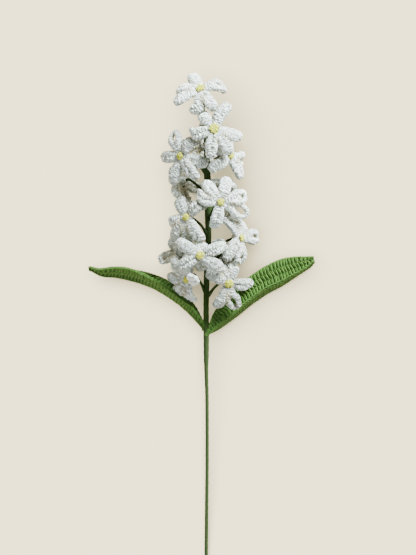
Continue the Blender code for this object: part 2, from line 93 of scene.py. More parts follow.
# The throat's core from front to back, as depth and radius, and its rounds of yarn, as depth, how far
# they stand out from the throat, and shade. Lengths are in millimetres.
THROAT_CORE = ((0.4, 0.4), (0.4, 3.2), (4.0, 2.6), (7.0, 1.9), (7.2, 1.3))
THROAT_CORE_SIDES = 12
THROAT_CORE_SHADE = 0.6
THROAT_ROUNDS = ((0.9, 0.3, 0.5), (2.5, 0.3, 0.3), (4.1, 0.3, 0.3), (5.6, 0.2, 0.35), (6.9, -0.25, 0.45))
THROAT_YARN_RADIUS = 0.85 * MM
THROAT_ROUND_POINTS = 16

# A petal's core under its stitches
PETAL_CORE_RINGS = 24
PETAL_CORE_SIDES = 7
PETAL_CORE_INSET = 0.8
PETAL_CORE_SHADE = 0.45

# Stitches over a petal's core: where they lie along the loop in stitches, how they lean, how far apart
# their legs are, and how unevenly they lie
STITCH_POINTS = 10
STITCH_SPARE = 0.8
STITCH_FIRST = 0.9
STITCH_TURN = 16
STITCH_LEAN = 0.45 * MM
STITCH_LEG = 0.27
STITCH_SWAY = 0.3 * MM
STITCH_WANDER = 0.22 * MM
STITCH_BUMP = 0.24
STITCH_DENT = 0.24 * MM

# Shade on the inner side of a stitch, behind it, where both meet, in its dents and where others crowd it,
# and between which cosines, sines or distances it comes
INNER_SHADE = 0.15
INNER_COMES = (0.1, -0.9)
BEHIND_SHADE = 0.72
BEHIND_COMES = (0.75, -0.4)
CORNER_SHADE = 0.3
DENT_SHADE = 0.2
CROWD_SHADE = 0.8
CROWD_COMES = (4.6 * MM, 2.8 * MM)
CROWD_OUTWARD = (4 * MM, 10 * MM)
CROWD_REACH = 10 * MM

# The chain on a petal's rim: its turn to the front, the angles of its legs, and its depth in the rim
CHAIN_FIRST = 0.45
CHAIN_TURN = 0.25
CHAIN_TILT = math.radians(4)
CHAIN_BOW = math.radians(26)
CHAIN_INSET = 0.35 * MM
CHAIN_RISE = 0.15 * MM

# Plies twisted into the yarn
YARN_PLIES = 2.0

# Points of a link in a chain of stitches, as shares of the way to the next link
LINK_POINTS = (0.0, 0.3, 0.65, 1.0, 1.3)

# Yellow centres, with their highest part and its fall to the edge as shares of their height
CENTRE_RADIUS = 3.1 * MM
CENTRE_HEIGHT = 1.9 * MM
CENTRE_CROWN = 0.86
CENTRE_FALL = 0.75
CENTRE_CORE_SIDES = 12

# A centre's core from its foot to its crown: height in millimetres and share of the centre's radius
CENTRE_CORE = ((0.0, 0.1), (0.0, 0.8), (0.9, 0.74), (1.3, 0.42), (1.4, 0.06))

# Short ends of yarn on a centre: how many for each stitch, their size, the turn from one to the next, and
# their girth and shade from end to end
ENDS_FOR_A_STITCH = 4
END_HALF_LENGTH = 0.85 * MM
END_RADIUS = 0.5 * MM
END_DROOP = 0.45 * MM
END_TURN = 2.4
END_GIRTHS = (0.6, 1.0, 1.1, 1.0, 0.6)
END_SHADES = (1.0, 0.25, 0.0, 0.25, 1.0)

# Stem and stalks
STEM_STATIONS = 24
STEM_BALLS = 140
STALK_RADIUS = 1.1 * MM
STALK_STATIONS = 5
STALK_LAP = 3.0 * MM
STALK_NECK = 3.0 * MM
STALK_BEND_AT = 0.45
STALK_BEND_RISE = 2.5 * MM
STALK_BALLS = 16
STALK_BALLS_INSIDE_STEM = 3
BORE_RADIUS = 0.9 * MM

# Tape: its sides and rings on the stem, the millimetres from one lap to the next, the step at a lap's
# edge, how much thicker the stalks are at their foot, where it darkens up the spike, partly as painted
# shade and partly as darker tape, and where painted light makes it lighter higher up the spike
TAPE_SIDES = 18
TAPE_RINGS = 420
TAPE_LAP = 6.5
TAPE_STEP = 0.16 * MM
TAPE_UNDER = 0.1 * MM
BORE_SHOWN = 3.0 * MM
STALK_SIDES = 9
STALK_RINGS = 22
STALK_FOOT = 0.5 * MM
STALK_FOOT_AT = 0.12
STALK_SIDEWAYS = (1.0, 0.13, 0.21)
DARK_FROM = -14 * MM
DARK_FULL = 4 * MM
LIT_FROM = 22 * MM
LIT_FULL = 45 * MM
LIT_SHARE = 0.8

# How fine the wire's drawing lines are across it and along it
WIRE_GRAIN = (6000.0, 60.0, 6000.0)

# Leaves
LEAF_STATIONS = 18
LEAF_ROWS = ((0.0, 0.0), (0.34, 0.25 * MM), (0.67, -0.2 * MM))
LEAF_RIB_RISE = 0.4 * MM
LEAF_BALLS = 60
LEAF_BALL_RADIUS = 1.3 * MM

# Rows of a leaf, its core, and its stitches: how much of the blade they cover, the points of a leg, the two
# legs as swing, girth and rise, and the chains along the edges and the rib as row and height
LEAF_BANDS = 6
RIB_ROW = 3
FOLD_BAND = 2
LOWEST_BAND = 5
LEAF_COVER = 0.985
LEAF_CORE_RINGS = 90
LEAF_CORE_ROWS = 13
LEAF_CORE_EDGE = 0.12
LEAF_CORE_END = 0.997
LEAF_CORE_HEIGHT = 0.42 * MM
LEAF_CORE_SHADE = 0.9
LEG_POINTS = (0.0, 0.22, 0.5, 0.78, 1.0)
LEG_FROM = -0.12
LEG_REACH = 1.2
LEG_SWAY = 0.42
LEG_SEAT = 0.3 * MM
LEG_RISE = 0.5 * MM
LEAF_LEGS = ((0.0, 1.15, 1.0), (-0.45, 0.9, 0.8))
FULL_BAND = 2.4 * MM
LEAF_CHAINS = ((0.02, 0.0), (5.98, 0.0), (RIB_ROW, 0.9 * MM))
LEAF_ROLLS = (0.86, 0.95)
LEAF_ROLL_RISE = 0.9

# Shade on a leaf: where legs go into the blade, on the second leg, along the fold near the root, under the
# lowest row, and in the open holes, with the shares along the leaf or the leg between which it comes
DIP_SHADE = 0.25
SECOND_LEG_SHADE = 0.18
FOLD_SHADE = 0.35
FOLD_COMES = (0.32, 0.1)
UNDER_SHADE = 0.9
UNDER_COMES = (0.35, 1.0)
HOLE_SHADE = 1.6
HOLE_THINS = 0.3
HOLES_ALONG = (0.5, 0.65)
HOLES_ON_LEG = (1.1, 0.7)

# Stem axis from the cut end to the tip: x, y, z and radius in millimetres
STEM_ROUTE = (
    (4.0, -198.2, 1.5, 1.45),
    (4.4, -161.0, 5.0, 1.45),
    (4.9, -112.0, 8.8, 1.45),
    (4.8, -63.0, 12.4, 1.5),
    (4.2, -40.0, 14.2, 1.7),
    (4.2, -26.0, 15.2, 2.2),
    (4.2, -8.0, 16.4, 2.3),
    (4.1, 17.0, 18.6, 2.3),
    (5.0, 46.0, 21.0, 2.5),
    (5.9, 69.0, 22.9, 2.5),
    (5.5, 88.0, 24.4, 2.6),
    (5.1, 115.0, 26.6, 2.8),
    (4.5, 138.0, 28.7, 2.3),
    (3.0, 160.0, 31.0, 1.8),
    (1.3, 171.0, 33.5, 1.3),
)

# A floret's centre in millimetres, the way it faces, how many millimetres further down the stem its
# stalk starts, and its petals as turn, lean and curl in degrees. Turn is anticlockwise from +X as seen
# from the front, lean tips a petal's root forward, and curl rolls its outer part back.
Floret = namedtuple("Floret", "centre facing drop petals")

FLORETS = (
    Floret((-0.2, 184.0, 42.0), (-0.12, 0.60, 0.80), 10.0,
           ((26, 10, 115), (117, 5, 58), (172, 12, 104), (207, 8, 50), (272, 5, 92), (300, 10, 88))),
    Floret((10.3, 152.4, 51.0), (0.08, 0.08, 1.0), 15.0,
           ((341, 12, 60), (69, 15, 56), (128, 6, 105), (197, 12, 138), (262, 12, 56), (307, 12, 50))),
    Floret((-15.2, 131.6, 41.0), (-0.55, 0.0, 0.82), 15.0,
           ((54, 12, 90), (116, 12, 72), (180, 10, 75), (246, 10, 60), (307, 16, 66), (341, -12, 60))),
    Floret((22.0, 132.8, 36.0), (0.72, -0.12, 0.68), 15.0,
           ((346, 12, 80), (55, -30, 125), (100, 0, 90), (160, 0, 95), (215, 25, 150), (317, 12, 35))),
    Floret((15.4, 95.1, 47.0), (0.12, 0.0, 1.0), 15.0,
           ((13, 16, 100), (73, 12, 105), (129, 12, 115), (172, 10, 150), (258, 15, 120), (339, 0, 30))),
    Floret((-10.6, 83.2, 41.0), (-0.45, 0.05, 0.88), 15.0,
           ((46, 12, 72), (124, 10, 100), (194, 10, 115), (228, 10, 75), (264, 0, 50), (302, 14, 76))),
    Floret((30.4, 67.0, 33.0), (0.75, 0.10, 0.62), 15.0,
           ((4, 25, 75), (40, 0, 100), (96, 10, 60), (128, 12, 60), (220, 5, 75), (276, 12, 125))),
    Floret((-0.5, 53.3, 49.0), (-0.05, -0.05, 1.0), 15.0,
           ((22, 14, 88), (88, -40, 120), (150, 14, 90), (210, 14, 75), (275, -45, 50), (326, 14, 90))),
    Floret((-10.0, 34.6, 34.0), (-0.50, -0.40, 0.75), 13.0,
           ((16, 52, 38), (80, 0, 80), (135, 5, 80), (180, 8, 70), (230, 20, 42), (250, 12, 45))),
    Floret((21.8, 31.6, 35.0), (0.20, -0.30, 0.92), 13.0,
           ((350, 14, 150), (68, -10, 100), (122, 0, 90), (156, 16, 150), (256, 14, 52), (282, 14, 52))),
    Floret((3.0, 144.0, 5.6), (0.05, 0.05, -1.0), 15.0,
           ((0, 5, 60), (92, -10, 90), (120, 5, 65), (180, 5, 60), (240, 5, 60), (300, 5, 65))),
    Floret((-16.0, 113.0, 15.8), (-0.75, -0.15, -0.60), 15.0,
           ((20, 5, 95), (80, 5, 70), (140, 5, 70), (200, 5, 60), (260, 5, 55), (320, 5, 85))),
    Floret((-17.0, 56.0, 9.0), (-0.50, -0.10, -0.85), 15.0,
           ((40, -10, 110), (90, 5, 60), (150, 5, 60), (208, 5, 50), (272, 5, 55), (342, 8, 58))),
    Floret((21.0, 54.0, 8.2), (0.45, -0.10, -0.88), 15.0,
           ((10, 5, 60), (70, -35, 130), (130, 0, 90), (190, 0, 100), (250, 0, 90), (310, 5, 60))),
    Floret((20.0, 101.0, 10.4), (0.60, 0.10, -0.75), 15.0,
           ((15, 5, 60), (82, -20, 115), (138, -5, 100), (195, 0, 85), (255, 5, 55), (315, 5, 60))),
)

# Petals whose loop stands open near the tip: floret number and petal turn, with the opening in millimetres
OPEN_LOOPS = {
    (1, 26): 2.0,
    (3, 116): 1.6,
    (4, 346): 2.2,
    (5, 13): 2.2,
    (5, 339): 3.1,
    (7, 4): 1.8,
    (7, 276): 2.5,
    (10, 282): 1.9,
}

# Florets whose yellow round is worked wider, as a share of the usual radius
WIDE_CENTRES = {1: 1.25, 2: 1.4, 8: 1.1, 10: 1.2}

# Florets given painted shade, as steps of tone, where the light falls off across the spike
SHADED_FLORETS = {3: 0.9, 6: 1.5, 7: 1.0, 8: 1.5, 10: 2.5}

# Leaves as three rails from root to tip, in millimetres: the upper edge, the rib and the lower edge
LEAVES = {
    "leaf_left": (
        ((2.5, -1.5, 18.5), (-8.0, 12.5, 24.0), (-20.0, 22.0, 27.0), (-33.0, 31.0, 27.5),
         (-46.0, 38.0, 27.0), (-58.0, 42.6, 25.5), (-70.0, 43.6, 22.5), (-82.0, 42.2, 18.5),
         (-91.0, 44.6, 14.0)),
        ((1.5, -4.5, 16.5), (-6.0, 4.2, 17.0), (-16.0, 13.4, 17.5), (-28.0, 22.0, 17.5),
         (-40.0, 28.4, 17.0), (-54.0, 33.2, 16.0), (-68.0, 36.4, 14.5), (-80.0, 37.8, 13.0),
         (-91.0, 43.6, 12.0)),
        ((2.5, -2.0, 14.5), (-5.0, 12.0, 9.5), (-15.0, 23.5, 7.0), (-28.0, 33.0, 6.0),
         (-42.0, 38.6, 5.5), (-56.0, 41.4, 6.0), (-69.0, 41.8, 7.0), (-81.0, 40.6, 8.5),
         (-91.0, 43.0, 10.0)),
    ),
    "leaf_right": (
        ((5.5, -7.0, 19.0), (11.0, 8.0, 20.0), (24.0, 24.0, 21.0), (38.0, 35.4, 22.0),
         (52.0, 44.6, 22.0), (64.0, 50.0, 21.0), (75.0, 52.0, 19.5), (85.0, 52.2, 17.5),
         (91.0, 52.4, 17.0)),
        ((6.0, -9.0, 17.0), (14.0, -2.0, 17.0), (26.0, 7.6, 17.0), (38.5, 18.0, 17.0),
         (50.5, 26.6, 16.5), (62.0, 31.8, 16.0), (74.0, 38.4, 15.5), (84.0, 44.0, 15.0),
         (91.0, 51.0, 15.5)),
        ((6.5, -9.5, 15.0), (15.0, -5.0, 9.0), (29.0, 4.8, 5.5), (42.0, 15.2, 4.0),
         (54.0, 23.2, 3.6), (66.0, 29.6, 4.2), (77.0, 37.0, 6.0), (86.0, 43.6, 9.0),
         (91.0, 50.0, 13.5)),
    ),
}

# How each leaf is worked: where its root is bound to the stem in millimetres, the tone of its yarn, which
# on the left leaf is painted light, how strong the painted shade between its stitches is, less on the
# left leaf as painted light, and how open its stitches stand along the fold
LeafWork = namedtuple("LeafWork", "root tone shade holes")

LEAF_WORK = {
    "leaf_left": LeafWork((2.0, -7.5, 17.4), 2.1, 0.65, 1.0),
    "leaf_right": LeafWork((3.0, -11.5, 19.1), 0.0, 1.0, 0.0),
}

# Lights: place in metres, colour, kind, what they do to the floor, and their other settings
LIGHTS = {
    "key_light": ((0.95, 1.4, 0.9), (0.90, 1.0, 1.0), "AREA", "EXCLUDE", {"energy": 325.0, "size": 0.9}),
    "fill_light": ((-0.8, -1.0, 0.8), (0.95, 1.0, 1.0), "AREA", "EXCLUDE", {"energy": 22.0, "size": 1.2}),
    "floor_light": ((-0.5, 0.5, 2.0), (1.0, 1.0, 1.0), "SUN", "INCLUDE", {"energy": 15.0, "angle": 1.3}),
}
LIGHTS_AIM_Y = 0.05
SKY_COLOUR = (1.0, 0.98, 0.92, 1.0)
SKY_STRENGTH = 0.32
FLOOR_REACH = 6.0
CAMERA_PLACE = (0.0056, 0.0356, 1.506)
CAMERA_LENS = 120.0
CAMERA_SENSOR = 36.0


# The flower's lines, as the frame has them


def unit(vectors):
    """Every vector along the last axis at length one."""
    return vectors / np.maximum(np.linalg.norm(vectors, axis=-1, keepdims=True), 1e-12)


def smooth_route(points, count):
    """Catmull-Rom curve through the points, as count points evenly spaced in parameter."""
    knots = np.asarray(points, dtype=float)
    padded = np.vstack([2 * knots[0] - knots[1], knots, 2 * knots[-1] - knots[-2]])
    spans = len(knots) - 1
    route = []
    for where in np.linspace(0, spans, count):
        span = min(int(where), spans - 1)
        t = where - span
        a, b, c, d = padded[span:span + 4]
        route.append(0.5 * (2 * b + (c - a) * t + (2 * a - 5 * b + 4 * c - d) * t * t
                            + (3 * b - a - 3 * c + d) * t ** 3))
    return np.array(route)


def floret_place(floret):
    """A floret's centre in metres and its right, up and forward axes, with up close to the spike's way."""
    forward = unit(np.array(floret.facing, dtype=float))
    spike = np.array((0.0, 1.0, 0.0))
    up = unit(spike - np.dot(spike, forward) * forward)
    right = np.cross(up, forward)
    return np.array(floret.centre) * MM, right, up, forward


def throat_ends(floret):
    """The front and the back of the throat, on the floret's axis."""
    centre, _, _, forward = floret_place(floret)
    front = centre + forward * THROAT_FRONT
    return front, front - forward * THROAT_DEPTH


def petal_route(floret, turn, lean, curl):
    """The middle of a petal from root to tip before it gives way, and the way across it."""
    centre, right, up, forward = floret_place(floret)
    outward = math.cos(math.radians(turn)) * right + math.sin(math.radians(turn)) * up
    point = centre + outward * PETAL_ROOT_RADIUS
    route = [point]
    for index in range(ROUTE_STEPS):
        along = (index + 0.5) / ROUTE_STEPS
        angle = math.radians(lean - curl * along ** PETAL_CURL_POWER)
        heading = math.cos(angle) * outward + math.sin(angle) * forward
        point = point + heading * PETAL_LENGTH / ROUTE_STEPS
        route.append(point)
    return np.array(route), np.cross(forward, outward)


def petal_half_width(along):
    """Half the petal's width at a share of its length: narrow at the root and round at the tip."""
    if along < PETAL_FULL_WIDTH_AT:
        rise = math.sin(0.5 * math.pi * along / PETAL_FULL_WIDTH_AT)
        return PETAL_ROOT_HALF_WIDTH + (PETAL_HALF_WIDTH - PETAL_ROOT_HALF_WIDTH) * rise
    fall = (along - PETAL_FULL_WIDTH_AT) / (1 - PETAL_FULL_WIDTH_AT)
    return PETAL_HALF_WIDTH * math.sqrt(max(0.0, 1 - fall ** 3))


def petal_frames(routes, across):
    """The sideways and the front direction at every point of the petal routes."""
    tangents = unit(np.gradient(routes, axis=1))
    across = across[:, None, :]
    sides = unit(across - tangents * np.sum(across * tangents, axis=2, keepdims=True))
    return sides, np.cross(tangents, sides)


def petal_places(routes, across):
    """Two rows of places along every petal, one on each side of its middle."""
    along = np.linspace(0, 1, ROUTE_STEPS + 1)
    half_widths = np.array([petal_half_width(min(share, 0.9)) for share in along])
    sides, _ = petal_frames(routes, across)
    offset = sides * np.maximum(half_widths - PETAL_HALF_THICKNESS, 0.0)[None, :, None]
    return np.concatenate([routes + offset, routes - offset], axis=1)


def stalk_route(floret, stem):
    """A stalk's route from inside the stem to the bottom of the floret's socket."""
    centre, _, _, forward = floret_place(floret)
    _, back = throat_ends(floret)
    start_y = min(centre[1] - floret.drop * MM, stem[-1, 1] - STALK_LAP)
    start = np.array([np.interp(start_y, stem[:, 1], stem[:, axis]) for axis in range(3)])
    neck = back - forward * STALK_NECK
    bend = start + (neck - start) * STALK_BEND_AT + np.array((0.0, STALK_BEND_RISE, 0.0))
    end = back + forward * (SOCKET_DEPTH - SEAT_GAP)
    return np.vstack([smooth_route((start, bend, neck), STALK_STATIONS), end])


def leaf_rows(rails):
    """A leaf's rows of points from the upper edge over the raised rib to the lower edge."""
    upper, rib, lower = (smooth_route(np.array(rail) * MM, LEAF_STATIONS) for rail in rails)
    along = np.gradient(rib, axis=0) * np.sign(rib[-1, 0] - rib[0, 0])
    upper_front = unit(np.cross(along, upper - rib))
    lower_front = unit(np.cross(along, rib - lower))
    rows = [upper + (rib - upper) * share + upper_front * rise for share, rise in LEAF_ROWS]
    rows.append(rib + unit(upper_front + lower_front) * LEAF_RIB_RISE)
    rows += [lower + (rib - lower) * share + lower_front * rise for share, rise in reversed(LEAF_ROWS)]
    return rows


def obstacle_balls(stem, stalks):
    """Balls for the stem, stalks, throats, centres and leaves, which petals give way to."""
    balls = [(point[:3], point[3], -1) for point in smooth_route(stem, STEM_BALLS)]
    for index, (floret, stalk) in enumerate(zip(FLORETS, stalks)):
        _, _, _, forward = floret_place(floret)
        front, _ = throat_ends(floret)
        for point in smooth_route(stalk, STALK_BALLS)[STALK_BALLS_INSIDE_STEM:]:
            balls.append((point, STALK_RADIUS, index))
        for painted_shade, radius in THROAT_BALLS:
            balls.append((front - forward * painted_shade, radius, index))
    for rails in LEAVES.values():
        rows = leaf_rows(rails)
        between = [(row + other) / 2 for row, other in zip(rows, rows[1:])]
        for row in rows + between:
            balls += [(point, LEAF_BALL_RADIUS, -1) for point in smooth_route(row, LEAF_BALLS)]
    places, radii, owners = zip(*balls)
    return np.array(places), np.array(radii), np.array(owners)


def turned_with(vectors, before, after):
    """Vectors carried along by the turn that takes each unit vector before to the one after."""
    axis = np.cross(before, after)
    cosine = np.sum(before * after, axis=1, keepdims=True)
    once = np.cross(axis, vectors)
    return vectors + once + np.cross(axis, once) / (1 + cosine + 1e-6)


def spring_back(routes, rest):
    """Routes with every step at its own length, bending back towards their shape at rest."""
    steps = unit(np.diff(rest, axis=1))
    bent = routes.copy()
    bent[:, :2] = rest[:, :2]
    for index in range(1, ROUTE_STEPS):
        before = unit(bent[:, index] - bent[:, index - 1])
        heading = unit(bent[:, index + 1] - bent[:, index])
        wanted = turned_with(steps[:, index], steps[:, index - 1], before)
        heading = unit(heading + SPRING * wanted)
        bent[:, index + 1] = bent[:, index] + heading * PETAL_LENGTH / ROUTE_STEPS
    return bent


def near_pairs(places, others, reach, allowed):
    """Indices of the allowed pairs that are little further apart than their reach."""
    distance = np.linalg.norm(places[:, None, :] - others[None, :, :], axis=2)
    return np.nonzero((distance < reach + LOOK_AROUND) & allowed)


def way_out(places, others, wanted):
    """The way out of each overlap, as a vector as long as the overlap is deep."""
    apart = places - others
    distance = np.maximum(np.linalg.norm(apart, axis=1), 1e-9)
    return apart / distance[:, None] * np.maximum(wanted - distance, 0.0)[:, None]


def settle_petals(stem, stalks):
    """The owners of all petals, their routes once they have given way, and the ways across them."""
    starts = [(index, *petal_route(floret, *petal))
              for index, floret in enumerate(FLORETS) for petal in floret.petals]
    owners, rest, across = (np.array(column) for column in zip(*starts))
    along = np.linspace(0, 1, ROUTE_STEPS + 1)
    radius = PETAL_HALF_THICKNESS
    balls, ball_radii, ball_owners = obstacle_balls(stem, stalks)
    petal_of = np.repeat(np.arange(len(rest)), 2 * (ROUTE_STEPS + 1))
    share_of = np.tile(along, 2 * len(rest))
    owner_of = owners[petal_of]
    freedom = np.clip((share_of - 0.1) / 0.6, 0.0, 1.0)
    loose = share_of >= GIVE_FROM
    outer = share_of >= MATES_GIVE_FROM
    mates = owner_of[:, None] == owner_of[None, :]
    allowed = (petal_of[:, None] < petal_of[None, :]) & (~mates | (outer[:, None] & outer[None, :]))
    ball_allowed = (owner_of[:, None] != ball_owners[None, :]) | loose[:, None]
    routes = rest
    for give_round in range(GIVE_ROUNDS):
        places = petal_places(routes, across).reshape(-1, 3)
        if give_round % LOOK_AGAIN_EVERY == 0:
            first, second = near_pairs(places, places, 2 * radius, allowed)
            touching, ball = near_pairs(places, balls, radius + ball_radii[None, :], ball_allowed)
        moves = np.zeros_like(places)
        clearance = np.where(mates[first, second], 0.0, PETAL_CLEARANCE)
        apart = way_out(places[first], places[second], 2 * radius + clearance)
        whole = np.maximum(freedom[first] + freedom[second], 0.05)
        np.add.at(moves, first, apart * (freedom[first] / whole)[:, None])
        np.add.at(moves, second, -apart * (freedom[second] / whole)[:, None])
        apart = way_out(places[touching], balls[ball], radius + ball_radii[ball] + PETAL_CLEARANCE)
        np.add.at(moves, touching, apart * np.minimum(2 * freedom[touching], 1.0)[:, None])
        moves[:, 2] += np.maximum(radius - SURFACE_PRESS - places[:, 2], 0.0) * freedom
        moves = GIVE_SHARE * moves.reshape(len(rest), 2, ROUTE_STEPS + 1, 3).sum(axis=1)
        size = np.linalg.norm(moves, axis=2, keepdims=True)
        moves *= np.minimum(1.0, GIVE_LIMIT / np.maximum(size, 1e-9))
        routes = spring_back(routes + moves, rest)
    return owners, routes, across


@functools.lru_cache(maxsize=None)
def flower_lines():
    """The stem, the stalks and the settled petals, worked out once."""
    stem = smooth_route(np.array(STEM_ROUTE) * MM, STEM_STATIONS)
    stalks = [stalk_route(floret, stem) for floret in FLORETS]
    return stem, stalks, settle_petals(stem, stalks)


# Yarn: strands laid as tubes and gathered into one piece


class Skein:
    """Strands laid for one piece, gathered until they are joined into one mesh."""

    # Shade on a strand's flanks, and the cosines of the turn from its crest between which it comes
    FLANK = 0.5
    FLANK_FROM = 0.75
    FLANK_FULL = -0.3
    OFF_FLOOR = 0.05 * MM

    def __init__(self):
        self.points = []
        self.faces = []
        self.strands = []
        self.depths = []
        self.tones = []
        self.count = 0

    def tube(self, rings, run, closed=False, depths=0.0, tones=0.0):
        """Lay tubes from rings (tubes by points by sides by three), with the length run at each point."""
        tubes, points, sides, _ = rings.shape
        starts = np.arange(points if closed else points - 1)
        tube, start, side = np.meshgrid(np.arange(tubes), starts, np.arange(sides), indexing="ij")
        after = (start + 1) % points
        beside = (side + 1) % sides
        quads = np.stack([(tube * points + start) * sides + side,
                          (tube * points + start) * sides + beside,
                          (tube * points + after) * sides + beside,
                          (tube * points + after) * sides + side], axis=-1).reshape(-1, 4)
        here, there = run[tube, start], run[tube, start + 1]
        low, high = side / sides, (side + 1) / sides
        self.faces += (quads + self.count).tolist()
        self.strands.append(np.stack([here, low, here, high, there, high, there, low],
                                     axis=-1).reshape(-1, 2))
        if not closed:
            base = np.arange(tubes)[:, None] * points * sides + self.count
            first = base + np.arange(sides)[::-1]
            last = base + (points - 1) * sides + np.arange(sides)
            caps = np.concatenate([first, last])
            self.faces += caps.tolist()
            self.strands.append(np.zeros((caps.size, 2)))
        self.points.append(rings.reshape(-1, 3))
        # The depths are the painted shade at each point
        depths = np.asarray(depths)
        if depths.ndim < 3:
            depths = depths[..., None]
        self.depths.append(np.broadcast_to(depths, (tubes, points, sides)).reshape(-1))
        self.tones.append(np.broadcast_to(np.asarray(tones)[..., None] * np.ones(sides),
                                          (tubes, points, sides)).reshape(-1))
        self.count += tubes * points * sides

    def lay(self, paths, away, radii, sides, closed=False, depths=0.0, tones=0.0):
        """Lay round strands along paths, given as strands by points by three, with a way out at each."""
        strands, points, _ = paths.shape
        radii = np.broadcast_to(radii, (strands, points))
        if closed:
            tangents = unit(np.roll(paths, -1, axis=1) - np.roll(paths, 1, axis=1))
        else:
            tangents = unit(np.gradient(paths, axis=1))
        away = unit(away - tangents * np.sum(away * tangents, axis=2, keepdims=True))
        beside = np.cross(tangents, away)
        angle = round_angles(sides)
        ring = (np.cos(angle)[:, None] * away[:, :, None, :]
                + np.sin(angle)[:, None] * beside[:, :, None, :])
        rings = paths[:, :, None, :] + ring * radii[:, :, None, None]
        flank = self.FLANK * eased(self.FLANK_FROM, self.FLANK_FULL, np.cos(angle))
        depths = np.asarray(depths) * np.ones((strands, points))
        self.tube(rings, path_run(paths, closed), closed, depths[..., None] + flank, tones)

    def core(self, rings, painted_shade, tone=0.0):
        """Lay one plain tube from rings, with its painted shade and tone, to go under the stitches."""
        self.tube(rings[None], path_run(rings.mean(axis=1)[None]), depths=painted_shade, tones=tone)

    def join(self, name, finish):
        """Join everything laid into one piece with a finish."""
        mesh = bpy.data.meshes.new(name)
        points = np.concatenate(self.points)
        points[:, 2] = np.maximum(points[:, 2], self.OFF_FLOOR)
        mesh.from_pydata(points.tolist(), [], self.faces)
        layer = mesh.uv_layers.new(name="strand")
        layer.data.foreach_set("uv", np.concatenate(self.strands).astype(np.float32).reshape(-1))
        # Each point carries its painted shade and its tone as attributes
        for label, values in (("painted_shade", self.depths), ("tone", self.tones)):
            made = mesh.attributes.new(label, "FLOAT", "POINT")
            made.data.foreach_set("value", np.concatenate(values).astype(np.float32))
        mesh.shade_smooth()
        mesh.materials.append(finish)
        piece = bpy.data.objects.new(name, mesh)
        bpy.context.scene.collection.objects.link(piece)
        return piece


def path_run(paths, closed=False):
    """How far along each path its points are, in millimetres, with the way back to the start if closed."""
    steps = np.linalg.norm(np.diff(paths, axis=1), axis=2)
    if closed:
        back = np.linalg.norm(paths[:, 0] - paths[:, -1], axis=1, keepdims=True)
        steps = np.concatenate([steps, back], axis=1)
    return np.concatenate([np.zeros((len(paths), 1)), np.cumsum(steps, axis=1)], axis=1) / MM


def round_angles(count):
    """Angles that go evenly round once."""
    return np.arange(count) * TAU / count


def ways_round(axis, right, angles):
    """Directions at angles round an axis."""
    return np.cos(angles)[:, None] * right + np.sin(angles)[:, None] * np.cross(axis, right)


def chain_link():
    """Where a link of a chain has its points, and how far it bows out at each."""
    ahead = np.array(LINK_POINTS)[None, :]
    return ahead, np.sin(math.pi * ahead / LINK_POINTS[-1])


def eased(low, high, value):
    """How far a value has come from low to high, from 0 to 1, smoothly."""
    share = np.clip((value - low) / (high - low), 0.0, 1.0)
    return share * share * (3 - 2 * share)


# Florets


